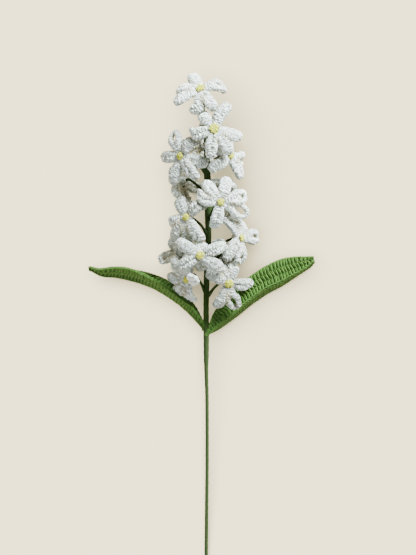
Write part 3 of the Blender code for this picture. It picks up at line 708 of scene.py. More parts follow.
class PetalLoop:
    """A settled petal as a looped cord: places are given along the loop, round the cord and into it."""

    # Points along the petal, where its width is read, along one side of the loop and round its tip
    STATIONS = 46
    WIDTH_POINTS = 60
    SIDE_POINTS = 150
    TIP_POINTS = 60

    # The loop's line: what the petal runs on past its ends, where the loop starts, the turn at its tip, from
    # where it narrows to that turn, and the share of the petal up to which its width is read
    SPARE = 3.0 * MM
    START = 1.0 * MM
    TIP_RADIUS = 1.3 * MM
    NARROWS_FROM = 12.5 * MM
    WIDTHS_END = 0.82

    # How the line gives way to an opening, the part of the petal's width that it then follows, and how much
    # the cord thins there
    GIVE_ALWAYS = 0.85 * MM
    GIVE_FOR_OPENING = 0.48
    GIVE_AT_TIP = 0.9
    GIVE_ACROSS = 1.45
    OPENS = (6 * MM, 13 * MM)
    OPEN_SPLIT = 0.30
    OPEN_THINS = 0.5

    # The cord: its width at the tip, its height at root and tip, its tilt, and its hollow inner side
    TIP_HALF_WIDTH = 3.15 * MM
    THINS_FROM = 14.5 * MM
    TIP_LOWER = 0.12
    ROOT_HEIGHT = 0.72
    ROOT_RISES = (1 * MM, 7 * MM)
    TILT = 0.12
    HOLLOW = 0.5
    HOLLOW_INSIDE = (0.6, -0.5)
    HOLLOW_BEHIND = (0.0, -0.7)

    def __init__(self, route, across, opening, split):
        dense = smooth_route(route, self.STATIONS)
        before = dense[0] - unit(dense[1] - dense[0]) * self.SPARE
        after = dense[-1] + unit(dense[-1] - dense[-2]) * self.SPARE
        steps = np.linalg.norm(np.diff(dense, axis=0), axis=1)
        run = np.concatenate([[0.0], np.cumsum(steps)]) * PETAL_LENGTH / steps.sum()
        self.run = np.concatenate([[-self.SPARE], run, [run[-1] + self.SPARE]])
        self.line = np.vstack([before, dense, after])
        sides, fronts = petal_frames(self.line[None], across[None])
        self.sides, self.fronts = sides[0], fronts[0]
        self.give = self.GIVE_ALWAYS + self.GIVE_FOR_OPENING * opening if opening else 0.0
        self.split = self.OPEN_SPLIT if opening else split
        shares = np.linspace(0.0, self.WIDTHS_END, self.WIDTH_POINTS)
        self.widths = shares * PETAL_LENGTH, np.array([petal_half_width(share) for share in shares])
        self.trace()

    def trace(self):
        """The cord's line from root to tip and back, flat, as distances along and across the petal."""
        tip_radius = self.TIP_RADIUS + self.give
        turn_at = PETAL_LENGTH - tip_radius - self.TIP_HALF_WIDTH + self.GIVE_AT_TIP * self.give
        up = np.linspace(self.START, turn_at, self.SIDE_POINTS)
        across = self.split * np.interp(up, *self.widths) + self.GIVE_ACROSS * self.open_at(up)
        across *= 1 + (tip_radius / across[-1] - 1) * eased(self.NARROWS_FROM, turn_at, up)
        bend = np.linspace(math.pi / 2, -math.pi / 2, self.TIP_POINTS)[1:-1]
        tip = np.stack([turn_at + tip_radius * np.cos(bend), tip_radius * np.sin(bend)], axis=1)
        self.flat = np.vstack([np.stack([up, across], axis=1), tip,
                               np.stack([up[::-1], -across[::-1]], axis=1)])
        steps = np.linalg.norm(np.diff(self.flat, axis=0), axis=1)
        self.flat_run = np.concatenate([[0.0], np.cumsum(steps)])
        self.headings = unit(np.gradient(self.flat, axis=0))

    def open_at(self, along):
        """How far the cord gives way to the loop's opening."""
        return self.give * eased(*self.OPENS, along)

    def read(self, rows, along):
        """Rows read at distances along the petal."""
        return np.stack([np.interp(along, self.run, rows[:, axis]) for axis in range(3)], axis=-1)

    def at(self, share, angle, inset, slip=0.0):
        """Points at a share of the loop, at an angle from the rim over the front, set into the cord."""
        where = np.asarray(share) * self.flat_run[-1]
        along, across, ahead, aside = (np.interp(where, self.flat_run, column)
                                       for column in (*self.flat.T, *self.headings.T))
        thin = eased(self.THINS_FROM, PETAL_LENGTH, along)
        wide = (1 - self.split) * np.interp(along, *self.widths)
        wide = wide * (1 - thin) + self.TIP_HALF_WIDTH * thin
        wide = (wide - self.OPEN_THINS * self.open_at(along) - inset) * np.cos(angle)
        root = self.ROOT_HEIGHT + (1 - self.ROOT_HEIGHT) * eased(*self.ROOT_RISES, along)
        high = (PETAL_HALF_THICKNESS * root * (1 - self.TIP_LOWER * thin) - inset) * np.sin(angle)
        behind = eased(*self.HOLLOW_BEHIND, np.sin(angle))
        high = high * (1 - self.HOLLOW * eased(*self.HOLLOW_INSIDE, np.cos(angle)) * behind)
        high = high - self.TILT * wide
        along = along - aside * wide + ahead * slip
        across = across + ahead * wide + aside * slip
        return (self.read(self.line, along) + unit(self.read(self.sides, along)) * across[..., None]
                + unit(self.read(self.fronts, along)) * high[..., None])


def others_near(places, which):
    """The places of all other petals that are near one petal."""
    others = np.delete(places, which, axis=0).reshape(-1, 3)
    apart = np.linalg.norm(others[:, None, :] - places[which][None, :, :], axis=-1).min(axis=1)
    return others[apart < CROWD_REACH]


def crowding(points, places, centre):
    """The shade on points that other petals crowd, which is less near the floret's centre."""
    apart = np.linalg.norm(points[..., None, :] - places, axis=-1).min(axis=-1)
    outward = np.linalg.norm(points - centre, axis=-1)
    return CROWD_SHADE * eased(*CROWD_COMES, apart) * eased(*CROWD_OUTWARD, outward)


def work_petal(skein, loop, crowd, floret_shade, sizes, dice):
    """Work one petal: a core, stitches of two legs over it and a chain along its rim."""
    stitches = sizes.petal_stitches
    strand = sizes.stitch_yarn / 2
    # Each stitch's tone varies at random, less its floret's painted shade
    tone = dice.uniform(-0.5, 0.5) - floret_shade
    step = 1.0 / (stitches + STITCH_SPARE)
    pitch = step * loop.flat_run[-1]
    core_share = np.linspace(0.0, 1.0, PETAL_CORE_RINGS)[:, None]
    core_angle = round_angles(PETAL_CORE_SIDES)[None, :]
    rings = loop.at(core_share + 0 * core_angle, core_angle + 0 * core_share, PETAL_CORE_INSET * strand)
    skein.core(rings, PETAL_CORE_SHADE, tone)

    middle = (np.arange(stitches) + STITCH_FIRST + dice.uniform(-0.12, 0.12, stitches))[:, None] * step
    turning = np.clip(STITCH_TURN * (0.5 - middle), -1, 1)
    lean = dice.normal(STITCH_LEAN, 0.2 * MM, (stitches, 1)) * turning
    for way in (-1.0, 1.0):
        angle = round_angles(STITCH_POINTS)[None, :] + dice.uniform(-0.4, 0.4, (stitches, 1))
        bumps = dice.normal(0.0, 1.0, (3, stitches, STITCH_POINTS))
        leg = dice.normal(STITCH_LEG, 0.05, (stitches, 1))
        spread = way * pitch * leg * (0.5 + 0.5 * np.cos(angle))
        spread = spread + STITCH_SWAY * np.sin(2 * angle + dice.uniform(-1.5, 1.5, (stitches, 1)))
        spread = spread + STITCH_WANDER * bumps[0]
        thick = strand * dice.normal(1.0, 0.1, (stitches, 1))
        thick = thick * np.clip(1 + STITCH_BUMP * bumps[1], 0.6, 1.6)
        inset = strand + dice.normal(0.0, 0.15 * MM, (stitches, 1)) + STITCH_DENT * bumps[2]
        rings = loop.at(middle + 0 * angle, angle, inset, lean * np.cos(angle) + spread)
        inner = eased(*INNER_COMES, np.cos(angle))
        behind = eased(*BEHIND_COMES, np.sin(angle))
        painted_shade = CORNER_SHADE * inner * behind + INNER_SHADE * inner + BEHIND_SHADE * behind
        painted_shade = painted_shade + DENT_SHADE * bumps[2] + crowd(rings)
        skein.lay(rings, rings - rings.mean(axis=1, keepdims=True), thick, 5, closed=True,
                  depths=np.clip(painted_shade, 0.0, 1.0), tones=tone + 0.8 * bumps[1])

    links = (np.arange(stitches) + CHAIN_FIRST)[:, None] * step
    ahead, bow = chain_link()
    for way in (1.0, -1.0):
        angle = way * (CHAIN_TILT + CHAIN_BOW * bow) + dice.normal(CHAIN_TURN, 0.08, (stitches, 1))
        inset = CHAIN_INSET - CHAIN_RISE * bow + 0 * links
        share = np.clip(links + ahead * step, 0.0, 1.0)
        path = loop.at(share, angle, inset)
        inside = loop.at(share, angle, inset + 1.0 * MM)
        radius = sizes.chain_yarn / 2 * (0.55 + 0.45 * bow) * dice.normal(1.0, 0.07, (stitches, 1))
        skein.lay(path, path - inside, radius, 4, depths=crowd(path),
                  tones=tone + dice.normal(0, 0.4, (stitches, 1)))


def work_throat(skein, floret, dice):
    """Work a floret's throat: a core and rounds of yarn from the petals down to the stalk."""
    _, right, _, forward = floret_place(floret)
    front, _ = throat_ends(floret)
    ways = ways_round(forward, right, round_angles(THROAT_CORE_SIDES))
    depths, radii = np.array(THROAT_CORE).T * MM
    rings = front - forward * depths[:, None, None] + ways[None] * radii[:, None, None]
    skein.core(rings[::-1], THROAT_CORE_SHADE)
    depths, stand, shade = np.array(THROAT_ROUNDS).T
    radii = np.interp(depths * MM, (0.0, THROAT_DEPTH), (THROAT_FRONT_RADIUS, THROAT_BACK_RADIUS))
    radii = radii - THROAT_YARN_RADIUS + stand * MM
    centres = front - forward * (depths * MM)[:, None]
    ways = ways_round(forward, right, round_angles(THROAT_ROUND_POINTS))
    paths = centres[:, None, :] + ways[None] * radii[:, None, None]
    skein.lay(paths, np.broadcast_to(ways[None], paths.shape), THROAT_YARN_RADIUS, 6, closed=True,
              depths=shade[:, None], tones=dice.normal(0, 0.3, (len(THROAT_ROUNDS), 1)))


def work_floret(number, floret, petals, sizes, finish):
    """Work one floret from its settled petals."""
    dice = np.random.default_rng(100 + number)
    skein = Skein()
    for turn, route, across, others in petals:
        opening = OPEN_LOOPS.get((number, turn), 0.0) * MM
        split = dice.uniform(0.3, 0.47)
        crowd = functools.partial(crowding, places=others, centre=floret_place(floret)[0])
        # Painted shade on the whole floret, where the light falls off
        floret_shade = SHADED_FLORETS.get(number, 0.0)
        work_petal(skein, PetalLoop(route, across, opening, split), crowd, floret_shade, sizes, dice)
    work_throat(skein, floret, dice)
    return skein.join(f"floret_{number:02d}_stitches", finish)


def work_centre(number, floret, sizes, finish):
    """Work the yellow round in the middle of a floret as short bent ends of yarn over a core."""
    dice = np.random.default_rng(200 + number)
    _, right, _, forward = floret_place(floret)
    front, _ = throat_ends(floret)
    base = front + forward * (SEAT_GAP - SEAT_DEPTH)
    wide = CENTRE_RADIUS * WIDE_CENTRES.get(number, 1.0)
    skein = Skein()
    ways = ways_round(forward, right, round_angles(CENTRE_CORE_SIDES))
    heights, shares = np.array(CENTRE_CORE).T
    rings = base + forward * (heights * MM)[:, None, None] + ways[None] * (shares * wide)[:, None, None]
    # The core under the ends is given full painted shade
    skein.core(rings, 1.0)
    ends = int(ENDS_FOR_A_STITCH * sizes.centre_stitches * (wide / CENTRE_RADIUS) ** 2)
    order = np.arange(ends)
    reach = np.sqrt((order + 0.5) / ends) * (wide - END_RADIUS)
    turn = order * END_TURN + dice.normal(0.0, 0.25, ends)
    spot = ways_round(forward, right, turn) * reach[:, None]
    aim = ways_round(forward, right, turn + dice.uniform(-1.3, 1.3, ends))
    part = np.linspace(-1.0, 1.0, len(END_GIRTHS))
    crown = CENTRE_HEIGHT * (CENTRE_CROWN - CENTRE_FALL * (reach / wide) ** 3)
    crown = crown * dice.normal(1.0, 0.07, ends)
    crown = crown[:, None] - END_DROOP * part[None, :] ** 2
    paths = (base + spot[:, None] + aim[:, None] * (part * END_HALF_LENGTH)[None, :, None]
             + forward * crown[..., None])
    thick = END_RADIUS * np.array(END_GIRTHS)[None, :] * dice.normal(1, 0.12, (ends, 1))
    skein.lay(paths, np.broadcast_to(forward, paths.shape), thick, 5,
              depths=np.array(END_SHADES)[None, :] + np.zeros((ends, 1)),
              tones=dice.normal(0, 0.8, (ends, 1)))
    return skein.join(f"centre_{number:02d}_stitches", finish)


# Leaves


class LeafCloth:
    """A leaf's blade: places are given by a share along it, by row across it and by height off it."""

    STATIONS = 140
    ROOT_WIDTH = 0.15
    SKEW = 0.07

    def __init__(self, rails, root):
        middle = leaf_rows(rails)[RIB_ROW][0]
        rows = [np.vstack([root + self.ROOT_WIDTH * (row[0] - middle), row]) for row in leaf_rows(rails)]
        rows = np.array([smooth_route(row, self.STATIONS) for row in rows])
        rib = rows[RIB_ROW]
        steps = np.linalg.norm(np.diff(rib, axis=0), axis=1)
        run = np.concatenate([[0.0], np.cumsum(steps)])
        self.length = run[-1]
        even = np.interp(np.linspace(0, run[-1], self.STATIONS), run, np.arange(self.STATIONS))
        low = np.minimum(even.astype(int), self.STATIONS - 2)
        part = (even - low)[None, :, None]
        self.rows = rows[:, low] * (1 - part) + rows[:, low + 1] * part
        self.way = np.sign(rib[-1, 0] - rib[0, 0])
        along = np.gradient(self.rows, axis=1) * self.way
        down = -np.gradient(self.rows, axis=0)
        self.fronts = unit(np.cross(along, down))
        self.widths = np.linalg.norm(np.diff(self.rows, axis=0), axis=2)

    def read(self, grid, share, row):
        """A grid read between its rows and stations."""
        x = np.clip(share, 0.0, 1.0) * (grid.shape[1] - 1)
        y = np.clip(row, 0.0, grid.shape[0] - 1)
        i = np.minimum(x.astype(int), grid.shape[1] - 2)
        j = np.minimum(y.astype(int), grid.shape[0] - 2)
        fx, fy = (x - i)[..., None], (y - j)[..., None]
        low = grid[j, i] * (1 - fx) + grid[j, i + 1] * fx
        high = grid[j + 1, i] * (1 - fx) + grid[j + 1, i + 1] * fx
        return low * (1 - fy) + high * fy

    def skew(self, share, row):
        """How far the columns of stitches lean back towards the root at a row."""
        from_rib = np.abs(row - RIB_ROW) / RIB_ROW
        return -self.SKEW * from_rib * eased(0.0, 0.3, share) * eased(1.0, 0.8, share)

    def width(self, band, share):
        """How wide a band between two rows is at a share along it."""
        last = self.STATIONS - 1
        return self.widths[band][np.clip((share * last).astype(int), 0, last)]

    def at(self, share, row, lift):
        """Points on the blade."""
        share, row, lift = np.broadcast_arrays(share, row, lift)
        front = unit(self.read(self.fronts, share, row))
        return self.read(self.rows, share, row) + front * lift[..., None]


def thinner_at_root(share):
    """How thick the yarn is at a share along the leaf, which is drawn together at its root."""
    return 0.55 + 0.45 * eased(0.0, 0.07, share)


def work_leaf(name, rails, sizes, finish):
    """Work one leaf: a core, rows of stitches on both faces, and chains along the rib and the edges."""
    dice = np.random.default_rng(len(name))
    work = LEAF_WORK[name]
    cloth = LeafCloth(rails, np.array(work.root) * MM)
    skein = Skein()
    share = np.linspace(0.0, LEAF_CORE_END, LEAF_CORE_RINGS)
    rows = np.linspace(LEAF_CORE_EDGE, LEAF_BANDS - LEAF_CORE_EDGE, LEAF_CORE_ROWS)
    front = cloth.at(share[:, None], rows[None, :], LEAF_CORE_HEIGHT)
    back = cloth.at(share[:, None], rows[None, ::-1], -LEAF_CORE_HEIGHT)
    rings = np.concatenate([front, back], axis=1)
    if cloth.way < 0:
        rings = rings[:, ::-1]
    skein.core(rings, LEAF_CORE_SHADE)
    columns = int(cloth.length * LEAF_COVER / sizes.leaf_pitch)
    for face in (1.0, -1.0):
        for band in range(LEAF_BANDS):
            lay_leaf_band(skein, cloth, work, face, band, sizes, dice, columns)
    for row, lift in LEAF_CHAINS:
        lay_leaf_chain(skein, cloth, row, lift, sizes, dice, columns)
    return skein.join(f"{name}_stitches", finish)


def lay_leaf_band(skein, cloth, work, face, band, sizes, dice, columns):
    """Lay one row of two-legged stitches between two rows of the leaf, on one face."""
    pitch = LEAF_COVER / columns
    begin = (np.arange(columns)[:, None] + 0.3) * pitch
    part = np.array(LEG_POINTS)[None, :]
    bow = np.sin(math.pi * part)
    inner, outer = (band + 1.0, float(band)) if band < RIB_ROW else (float(band), band + 1.0)
    wander = dice.normal(0.0, 0.07, (columns, 1))
    sway = LEG_SWAY * (-1.0) ** band
    fit = np.clip(cloth.width(band, begin) / FULL_BAND, 0.4, 1.0)
    for leg, (swing, girth, rise) in enumerate(LEAF_LEGS):
        where = begin + pitch * (wander + swing * part ** 0.8 + sway * (part - 0.5))
        row = inner + (outer - inner) * (LEG_FROM + LEG_REACH * part) + 0 * where
        where = where + cloth.skew(where, row)
        holes = work.holes * (band == FOLD_BAND) * eased(*HOLES_ALONG, where) * eased(*HOLES_ON_LEG, part)
        radius = sizes.leaf_yarn / 2 * girth * fit * (0.75 + 0.25 * bow)
        radius = radius * thinner_at_root(where) * (1 - HOLE_THINS * holes)
        lift = face * (LEG_SEAT + LEG_RISE * rise * (0.4 + 0.6 * bow) * fit)
        lift = lift * dice.normal(1.0, 0.07, (columns, 1))
        path = cloth.at(where, row, lift)
        root = cloth.at(where, row, lift - face * 1.0 * MM)
        # Painted shade where the legs dip into the blade, on the second leg, near the root under the
        # florets, under the lowest row and in the open holes
        shade_near_root = FOLD_SHADE * eased(*FOLD_COMES, where) * (band < RIB_ROW)
        under = UNDER_SHADE * eased(*UNDER_COMES, part) * (band == LOWEST_BAND)
        painted_shade = work.shade * (DIP_SHADE * (1 - bow) + SECOND_LEG_SHADE * leg + shade_near_root)
        painted_shade = painted_shade + under + HOLE_SHADE * leg * holes
        # The left leaf's tone carries painted light
        skein.lay(path, path - root, radius, 5, depths=painted_shade,
                  tones=dice.normal(work.tone, 0.8, (columns, 1)))


def lay_leaf_chain(skein, cloth, row, lift, sizes, dice, columns):
    """Lay a chain of stitches along a row of the leaf, raised on its front or else on its edge."""
    pitch = LEAF_COVER / columns
    ahead, bow = chain_link()
    where = np.arange(columns)[:, None] * pitch + pitch * ahead
    rolled = eased(*LEAF_ROLLS, where) * (row > RIB_ROW)
    for way in (-1.0, 1.0):
        if lift:
            path = cloth.at(where, row + way * 0.2 * bow, lift * (0.8 + 0.2 * bow))
        else:
            height = way * (0.15 + 0.55 * bow) + LEAF_ROLL_RISE * rolled
            path = cloth.at(where, row - 0.1 * rolled, height * MM)
        away = cloth.at(where, row, 1.0 * MM) - cloth.at(where, row, 0.0)
        radius = sizes.leaf_yarn / 2 * 0.95 * (0.5 + 0.5 * bow) * dice.normal(1.0, 0.12, (columns, 1))
        radius = radius * (thinner_at_root(where) + 0.5 * rolled)
        # Painted shade where the links dip into the leaf
        skein.lay(path, away, radius, 5, depths=(1 - bow) + 0 * where,
                  tones=dice.normal(0.0, 0.7, (columns, 1)))


# Stem


def tape_darkness(height):
    """How dark the tape is painted up the spike, with painted light making it lighter higher up."""
    return 1 - LIT_SHARE * eased(LIT_FROM, LIT_FULL, height)


def work_stem(finish):
    """Wind the tape round the stem and every stalk."""
    stem, stalks, _ = flower_lines()
    skein = Skein()
    dense = smooth_route(stem, TAPE_RINGS)
    path = dense[:, :3]
    run = path_run(path[None])
    angle = round_angles(TAPE_SIDES)
    tangents = unit(np.gradient(path, axis=0))
    right = unit(np.cross(np.array((0.0, 0.0, 1.0)), tangents))
    up = np.cross(tangents, right)
    ways = np.cos(angle)[None, :, None] * right[:, None] + np.sin(angle)[None, :, None] * up[:, None]
    lap = (run[0][:, None] / TAPE_LAP + angle[None, :] / TAU) % 1.0
    radius = dense[:, 3][:, None] + TAPE_STEP * lap - TAPE_UNDER
    rings = path[:, None] + ways * radius[..., None]
    inner = path[:1, None] + ways[:1] * BORE_RADIUS
    deep = inner + tangents[0] * BORE_SHOWN
    rings = np.concatenate([deep, inner, rings])
    run = np.concatenate([[[-4.0, -1.0]], run], axis=1)
    height = rings[:, :, 1].mean(axis=1)
    # The spike's tape is darker, partly as painted shade and partly as darker tape, and painted light makes
    # it lighter higher up
    spike = eased(DARK_FROM, DARK_FULL, height) * tape_darkness(height)
    skein.tube(rings[None], run, tones=spike[None])
    along = np.linspace(0, 1, STALK_RINGS)
    reach = STALK_RADIUS + STALK_FOOT * np.exp(-((along - STALK_FOOT_AT) / STALK_FOOT_AT) ** 2)
    for stalk in stalks:
        line = smooth_route(stalk, STALK_RINGS)
        away = np.broadcast_to(np.array(STALK_SIDEWAYS), line.shape)
        # The stalks take the spike's darker colour, with the same painted light higher up
        dark = tape_darkness(line[None, :, 1])
        skein.lay(line[None], away[None], reach[None], STALK_SIDES, tones=dark)
    return skein.join("stem_tape_wound", finish)


# Finishes


class Wire:
    """A value on its way through a finish: one socket, with arithmetic that adds its nodes."""

    def __init__(self, recipe, socket):
        self.recipe = recipe
        self.socket = socket

    def sums(self, operation, first, second=None):
        """A Math node on one or two values."""
        values = {0: first} if second is None else {0: first, 1: second}
        return self.recipe.node("ShaderNodeMath", {"operation": operation}, values)

    def __add__(self, other):
        return self.sums("ADD", self, other)

    def __sub__(self, other):
        return self.sums("SUBTRACT", self, other)

    def __mul__(self, other):
        return self.sums("MULTIPLY", self, other)

    def __truediv__(self, other):
        return self.sums("DIVIDE", self, other)

    def __rsub__(self, other):
        return self.sums("SUBTRACT", other, self)

    def __rtruediv__(self, other):
        return self.sums("DIVIDE", other, self)

    __radd__ = __add__
    __rmul__ = __mul__

    def sine(self):
        """The sine of the value."""
        return self.sums("SINE", self)

    def held(self):
        """The value held between 0 and 1."""
        return self.recipe.node("ShaderNodeClamp", {}, {0: self})


class Recipe:
    """A finish being made: its node tree, and the one way to add a node to it."""

    def __init__(self, name):
        self.material = bpy.data.materials.new(name)
        self.material.use_nodes = True
        self.tree = self.material.node_tree
        self.shader = self.tree.nodes["Principled BSDF"]

    def node(self, kind, settings, values, output=0):
        """A node of a kind, with its settings made first and then its sockets' values or links."""
        made = self.tree.nodes.new(kind)
        for setting, value in settings.items():
            setattr(made, setting, value)
        for socket, value in values.items():
            self.feed(made.inputs[socket], value)
        return Wire(self, made.outputs[output])

    def feed(self, socket, value):
        """Give a socket a value or a link."""
        if isinstance(value, Wire):
            self.tree.links.new(value.socket, socket)
        else:
            socket.default_value = value

    def surface(self, **values):
        """Give the shader's sockets their values or links."""
        for label, value in values.items():
            self.feed(self.shader.inputs[label.replace("_", " ").title()], value)

    def mix(self, share, first, second, blend="MIX"):
        """Two colours mixed by a share."""
        return self.node("ShaderNodeMix", {"data_type": "RGBA", "blend_type": blend},
                         {0: share, 6: first, 7: second}, 2)

    def attribute(self, label):
        """A value that the mesh carries."""
        return self.node("ShaderNodeAttribute", {"attribute_name": label}, {}, 2)

    def strand(self):
        """How far along and how far round its strand a point is."""
        place = self.node("ShaderNodeUVMap", {"uv_map": "strand"}, {})
        along = self.node("ShaderNodeSeparateXYZ", {}, {0: place})
        return along, Wire(self, along.socket.node.outputs[1])

    def noise(self, scale, detail=2.0, vector=None):
        """Noise from 0 to 1, on the object's own coordinates unless another vector is given."""
        values = {"Scale": scale, "Detail": detail}
        values["Vector"] = vector or self.node("ShaderNodeTexCoord", {}, {}, 3)
        return self.node("ShaderNodeTexNoise", {}, values)

    def vector(self, x, y, z):
        """Three values as one vector."""
        return self.node("ShaderNodeCombineXYZ", {}, {0: x, 1: y, 2: z})

    def bump(self, height, distance, strength=1.0):
        """A bump from a height."""
        return self.node("ShaderNodeBump", {}, {"Height": height, "Distance": distance,
                                                 "Strength": strength})


def yarn_finish(name, light, dark, painted_shade_colour, lay=2.2, relief=0.5, sheen=0.2, grain=1.8):
    """Twisted cotton yarn: plies wound along the strand, loose fibres, painted shade in the grooves between
    the plies, and a warm painted shade in the creases and between the stitches.
    """
    recipe = Recipe(name)
    along, around = recipe.strand()
    tone = recipe.attribute("tone")
    painted_shade = recipe.attribute("painted_shade")
    twist = ((along / lay + around * YARN_PLIES) * TAU).sine() * 0.5 + 0.5
    fibre_place = recipe.vector(along * 0.5 + around * 2.0, around * 9.0 - along * 1.2, tone * 7.0)
    fibres = recipe.noise(1.6, 3.0, fibre_place)
    fuzz = recipe.noise(900.0, 2.0)
    patch = recipe.noise(600.0, 1.0)
    # Painted shade in the grooves between the plies, with fibres and patches that vary at random and the
    # strand's tone
    shade = (0.2 * (1 - twist) + 0.25 * (1 - fibres) + grain * (patch - 0.5) - 0.2 * tone + 0.2).held()
    colour = recipe.mix(shade, light, dark)
    # Painted shade mixed in from the mesh's attribute: in creases, behind stitches and where parts crowd
    colour = recipe.mix((painted_shade * 0.9).held(), colour, painted_shade_colour)
    height = twist * 0.4 + fibres * 0.4 + fuzz * 0.25 + patch * grain
    recipe.surface(base_color=colour, roughness=0.82 + 0.14 * fibres,
                   normal=recipe.bump(height, relief * MM, 0.9))
    recipe.shader.inputs["Sheen Weight"].default_value = sheen
    recipe.shader.inputs["Sheen Roughness"].default_value = 0.5
    recipe.shader.inputs["Specular IOR Level"].default_value = 0.25
    return recipe.material


def tape_finish(name, spike, below):
    """Crinkled paper tape wound in a spiral, darker in the spike than below, partly as painted shade and
    partly as darker tape, with painted shade at the lap edges and in the crinkles.
    """
    recipe = Recipe(name)
    along, around = recipe.strand()
    upper = recipe.attribute("tone")
    lap = recipe.node("ShaderNodeMath", {"operation": "FRACT"}, {0: along / TAPE_LAP + around})
    crinkle = recipe.noise(1.0, 3.0, recipe.vector(along * 1.6, around * 7.0, 0.0))
    patch = recipe.noise(120.0, 2.0)
    edge = (1 - lap * 14.0).held()
    fresh = (5.0 * (recipe.noise(45.0, 2.0) - 0.56)).held() * 0.7
    colour = recipe.mix((upper - fresh * upper).held(), below, spike)
    shadow = recipe.mix(0.5, colour, (0.0, 0.0, 0.0, 1.0), "MULTIPLY")
    shade = (0.55 * edge + 0.35 * (1 - crinkle) + 0.3 * (patch - 0.4)).held()
    colour = recipe.mix(shade, colour, shadow)
    recipe.surface(base_color=colour, roughness=0.62 + 0.25 * crinkle,
                   normal=recipe.bump(crinkle * 0.5 + lap * 0.4, 0.12 * MM))
    recipe.shader.inputs["Specular IOR Level"].default_value = 0.06
    return recipe.material


def wire_finish(name, colour):
    """Drawn steel wire with fine lines along it."""
    recipe = Recipe(name)
    place = recipe.node("ShaderNodeTexCoord", {}, {}, 3)
    drawn = recipe.node("ShaderNodeVectorMath", {"operation": "MULTIPLY"}, {0: place, 1: WIRE_GRAIN})
    streak = recipe.noise(1.0, 2.0, drawn)
    dark = paint([0.6 * part for part in colour])
    recipe.surface(base_color=recipe.mix(streak, colour, dark), roughness=0.3 + 0.2 * streak,
                   metallic=1.0)
    return recipe.material


def paint(colour):
    """A colour property as four numbers."""
    return (*colour[:3], 1.0)


# Add-on


def length_property(label, words, value):
    """A length that a user may change."""
    return bpy.props.FloatProperty(name=label, description=words, default=value, min=0.0,
                                   subtype="DISTANCE", unit="LENGTH", precision=5)


def colour_property(label, words, value):
    """A colour that a user may change."""
    return bpy.props.FloatVectorProperty(name=label, description=words, default=value, size=3, min=0.0,
                                         max=1.0, subtype="COLOR")


class HyacinthSizes(bpy.types.PropertyGroup):
    """Sizes of the yarn and its stitches."""

    petal_stitches: bpy.props.IntProperty(
        name="Stitches Round a Petal", description="Stitches worked over one petal's loop",
        default=20, min=8, max=40)
    stitch_yarn: length_property("Stitch Thickness", "Thickness of the yarn in a petal's stitches",
                                 1.2 * MM)
    chain_yarn: length_property("Chain Thickness", "Thickness of the yarn in a petal's rim chain",
                                0.95 * MM)
    centre_stitches: bpy.props.IntProperty(
        name="Stitches in a Centre", description="Stitches worked in one yellow round",
        default=8, min=5, max=16)
    leaf_pitch: length_property("Leaf Stitch Pitch", "Distance from one leaf stitch to the next",
                                2.75 * MM)
    leaf_yarn: length_property("Leaf Yarn Thickness", "Thickness of the yarn in the leaves", 1.25 * MM)


class HyacinthColours(bpy.types.PropertyGroup):
    """Colours of the yarns, the tape, the wire and the floor."""

    petal: colour_property("Petal Yarn", "White cotton in the light", (0.84, 0.93, 0.92))
    petal_shade: colour_property("Petal Yarn Shade", "White cotton between its plies", (0.29, 0.325, 0.315))
    # Painted shade: the warm colour a petal is given in its creases, behind its stitches and where other
    # petals crowd it
    petal_painted_shade: colour_property("Petal Hollow", "White cotton deep in a petal", (0.29, 0.245, 0.13))
    centre: colour_property("Centre Yarn", "Yellow cotton in the light", (0.60, 0.66, 0.045))
    centre_shade: colour_property("Centre Yarn Shade", "Yellow cotton between its plies",
                                  (0.32, 0.28, 0.012))
    # Painted shade: the colour a centre is given between and under its stitches
    centre_painted_shade: colour_property("Centre Hollow", "Yellow cotton between stitches", (0.17, 0.14, 0.012))
    leaf: colour_property("Leaf Yarn", "Green cotton in the light", (0.069, 0.153, 0.022))
    leaf_shade: colour_property("Leaf Yarn Shade", "Green cotton between its plies", (0.036, 0.094, 0.010))
    # Painted shade: the colour a leaf is given between its stitches, near its root and under its lowest row
    leaf_painted_shade: colour_property("Leaf Gaps", "Green cotton between stitches", (0.020, 0.054, 0.006))
    # Partly painted shade and partly darker tape: the tape's colour in the spike
    tape_spike: colour_property("Tape in the Spike", "Floral tape among the florets", (0.024, 0.050, 0.009))
    tape_below: colour_property("Tape Below", "Floral tape below the leaves", (0.028, 0.047, 0.015))
    wire: colour_property("Wire", "Steel of the stem wire", (0.42, 0.42, 0.43))
    floor: colour_property("Floor", "Plain pale floor", (0.70, 0.61, 0.37))


class HYACINTH_OT_florets(bpy.types.Operator):
    """Work the fifteen white florets from looped petals"""

    bl_idname = "hyacinth.work_florets"
    bl_label = "Work Florets"

    def execute(self, context):
        sizes, colours = context.scene.hyacinth_sizes, context.scene.hyacinth_colours
        finish = yarn_finish("white_cotton_yarn", paint(colours.petal), paint(colours.petal_shade),
                             paint(colours.petal_painted_shade))
        _, _, (owners, routes, across) = flower_lines()
        places = petal_places(routes, across)
        places = np.concatenate([places, (places[:, 1:] + places[:, :-1]) / 2], axis=1)
        for index, floret in enumerate(FLORETS):
            mine = np.nonzero(owners == index)[0]
            petals = [(petal[0], routes[which], across[which], others_near(places, which))
                      for petal, which in zip(floret.petals, mine)]
            piece = work_floret(index + 1, floret, petals, sizes, finish)
            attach(piece, "root")
            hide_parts(f"floret_{index + 1:02d}")
        return {"FINISHED"}


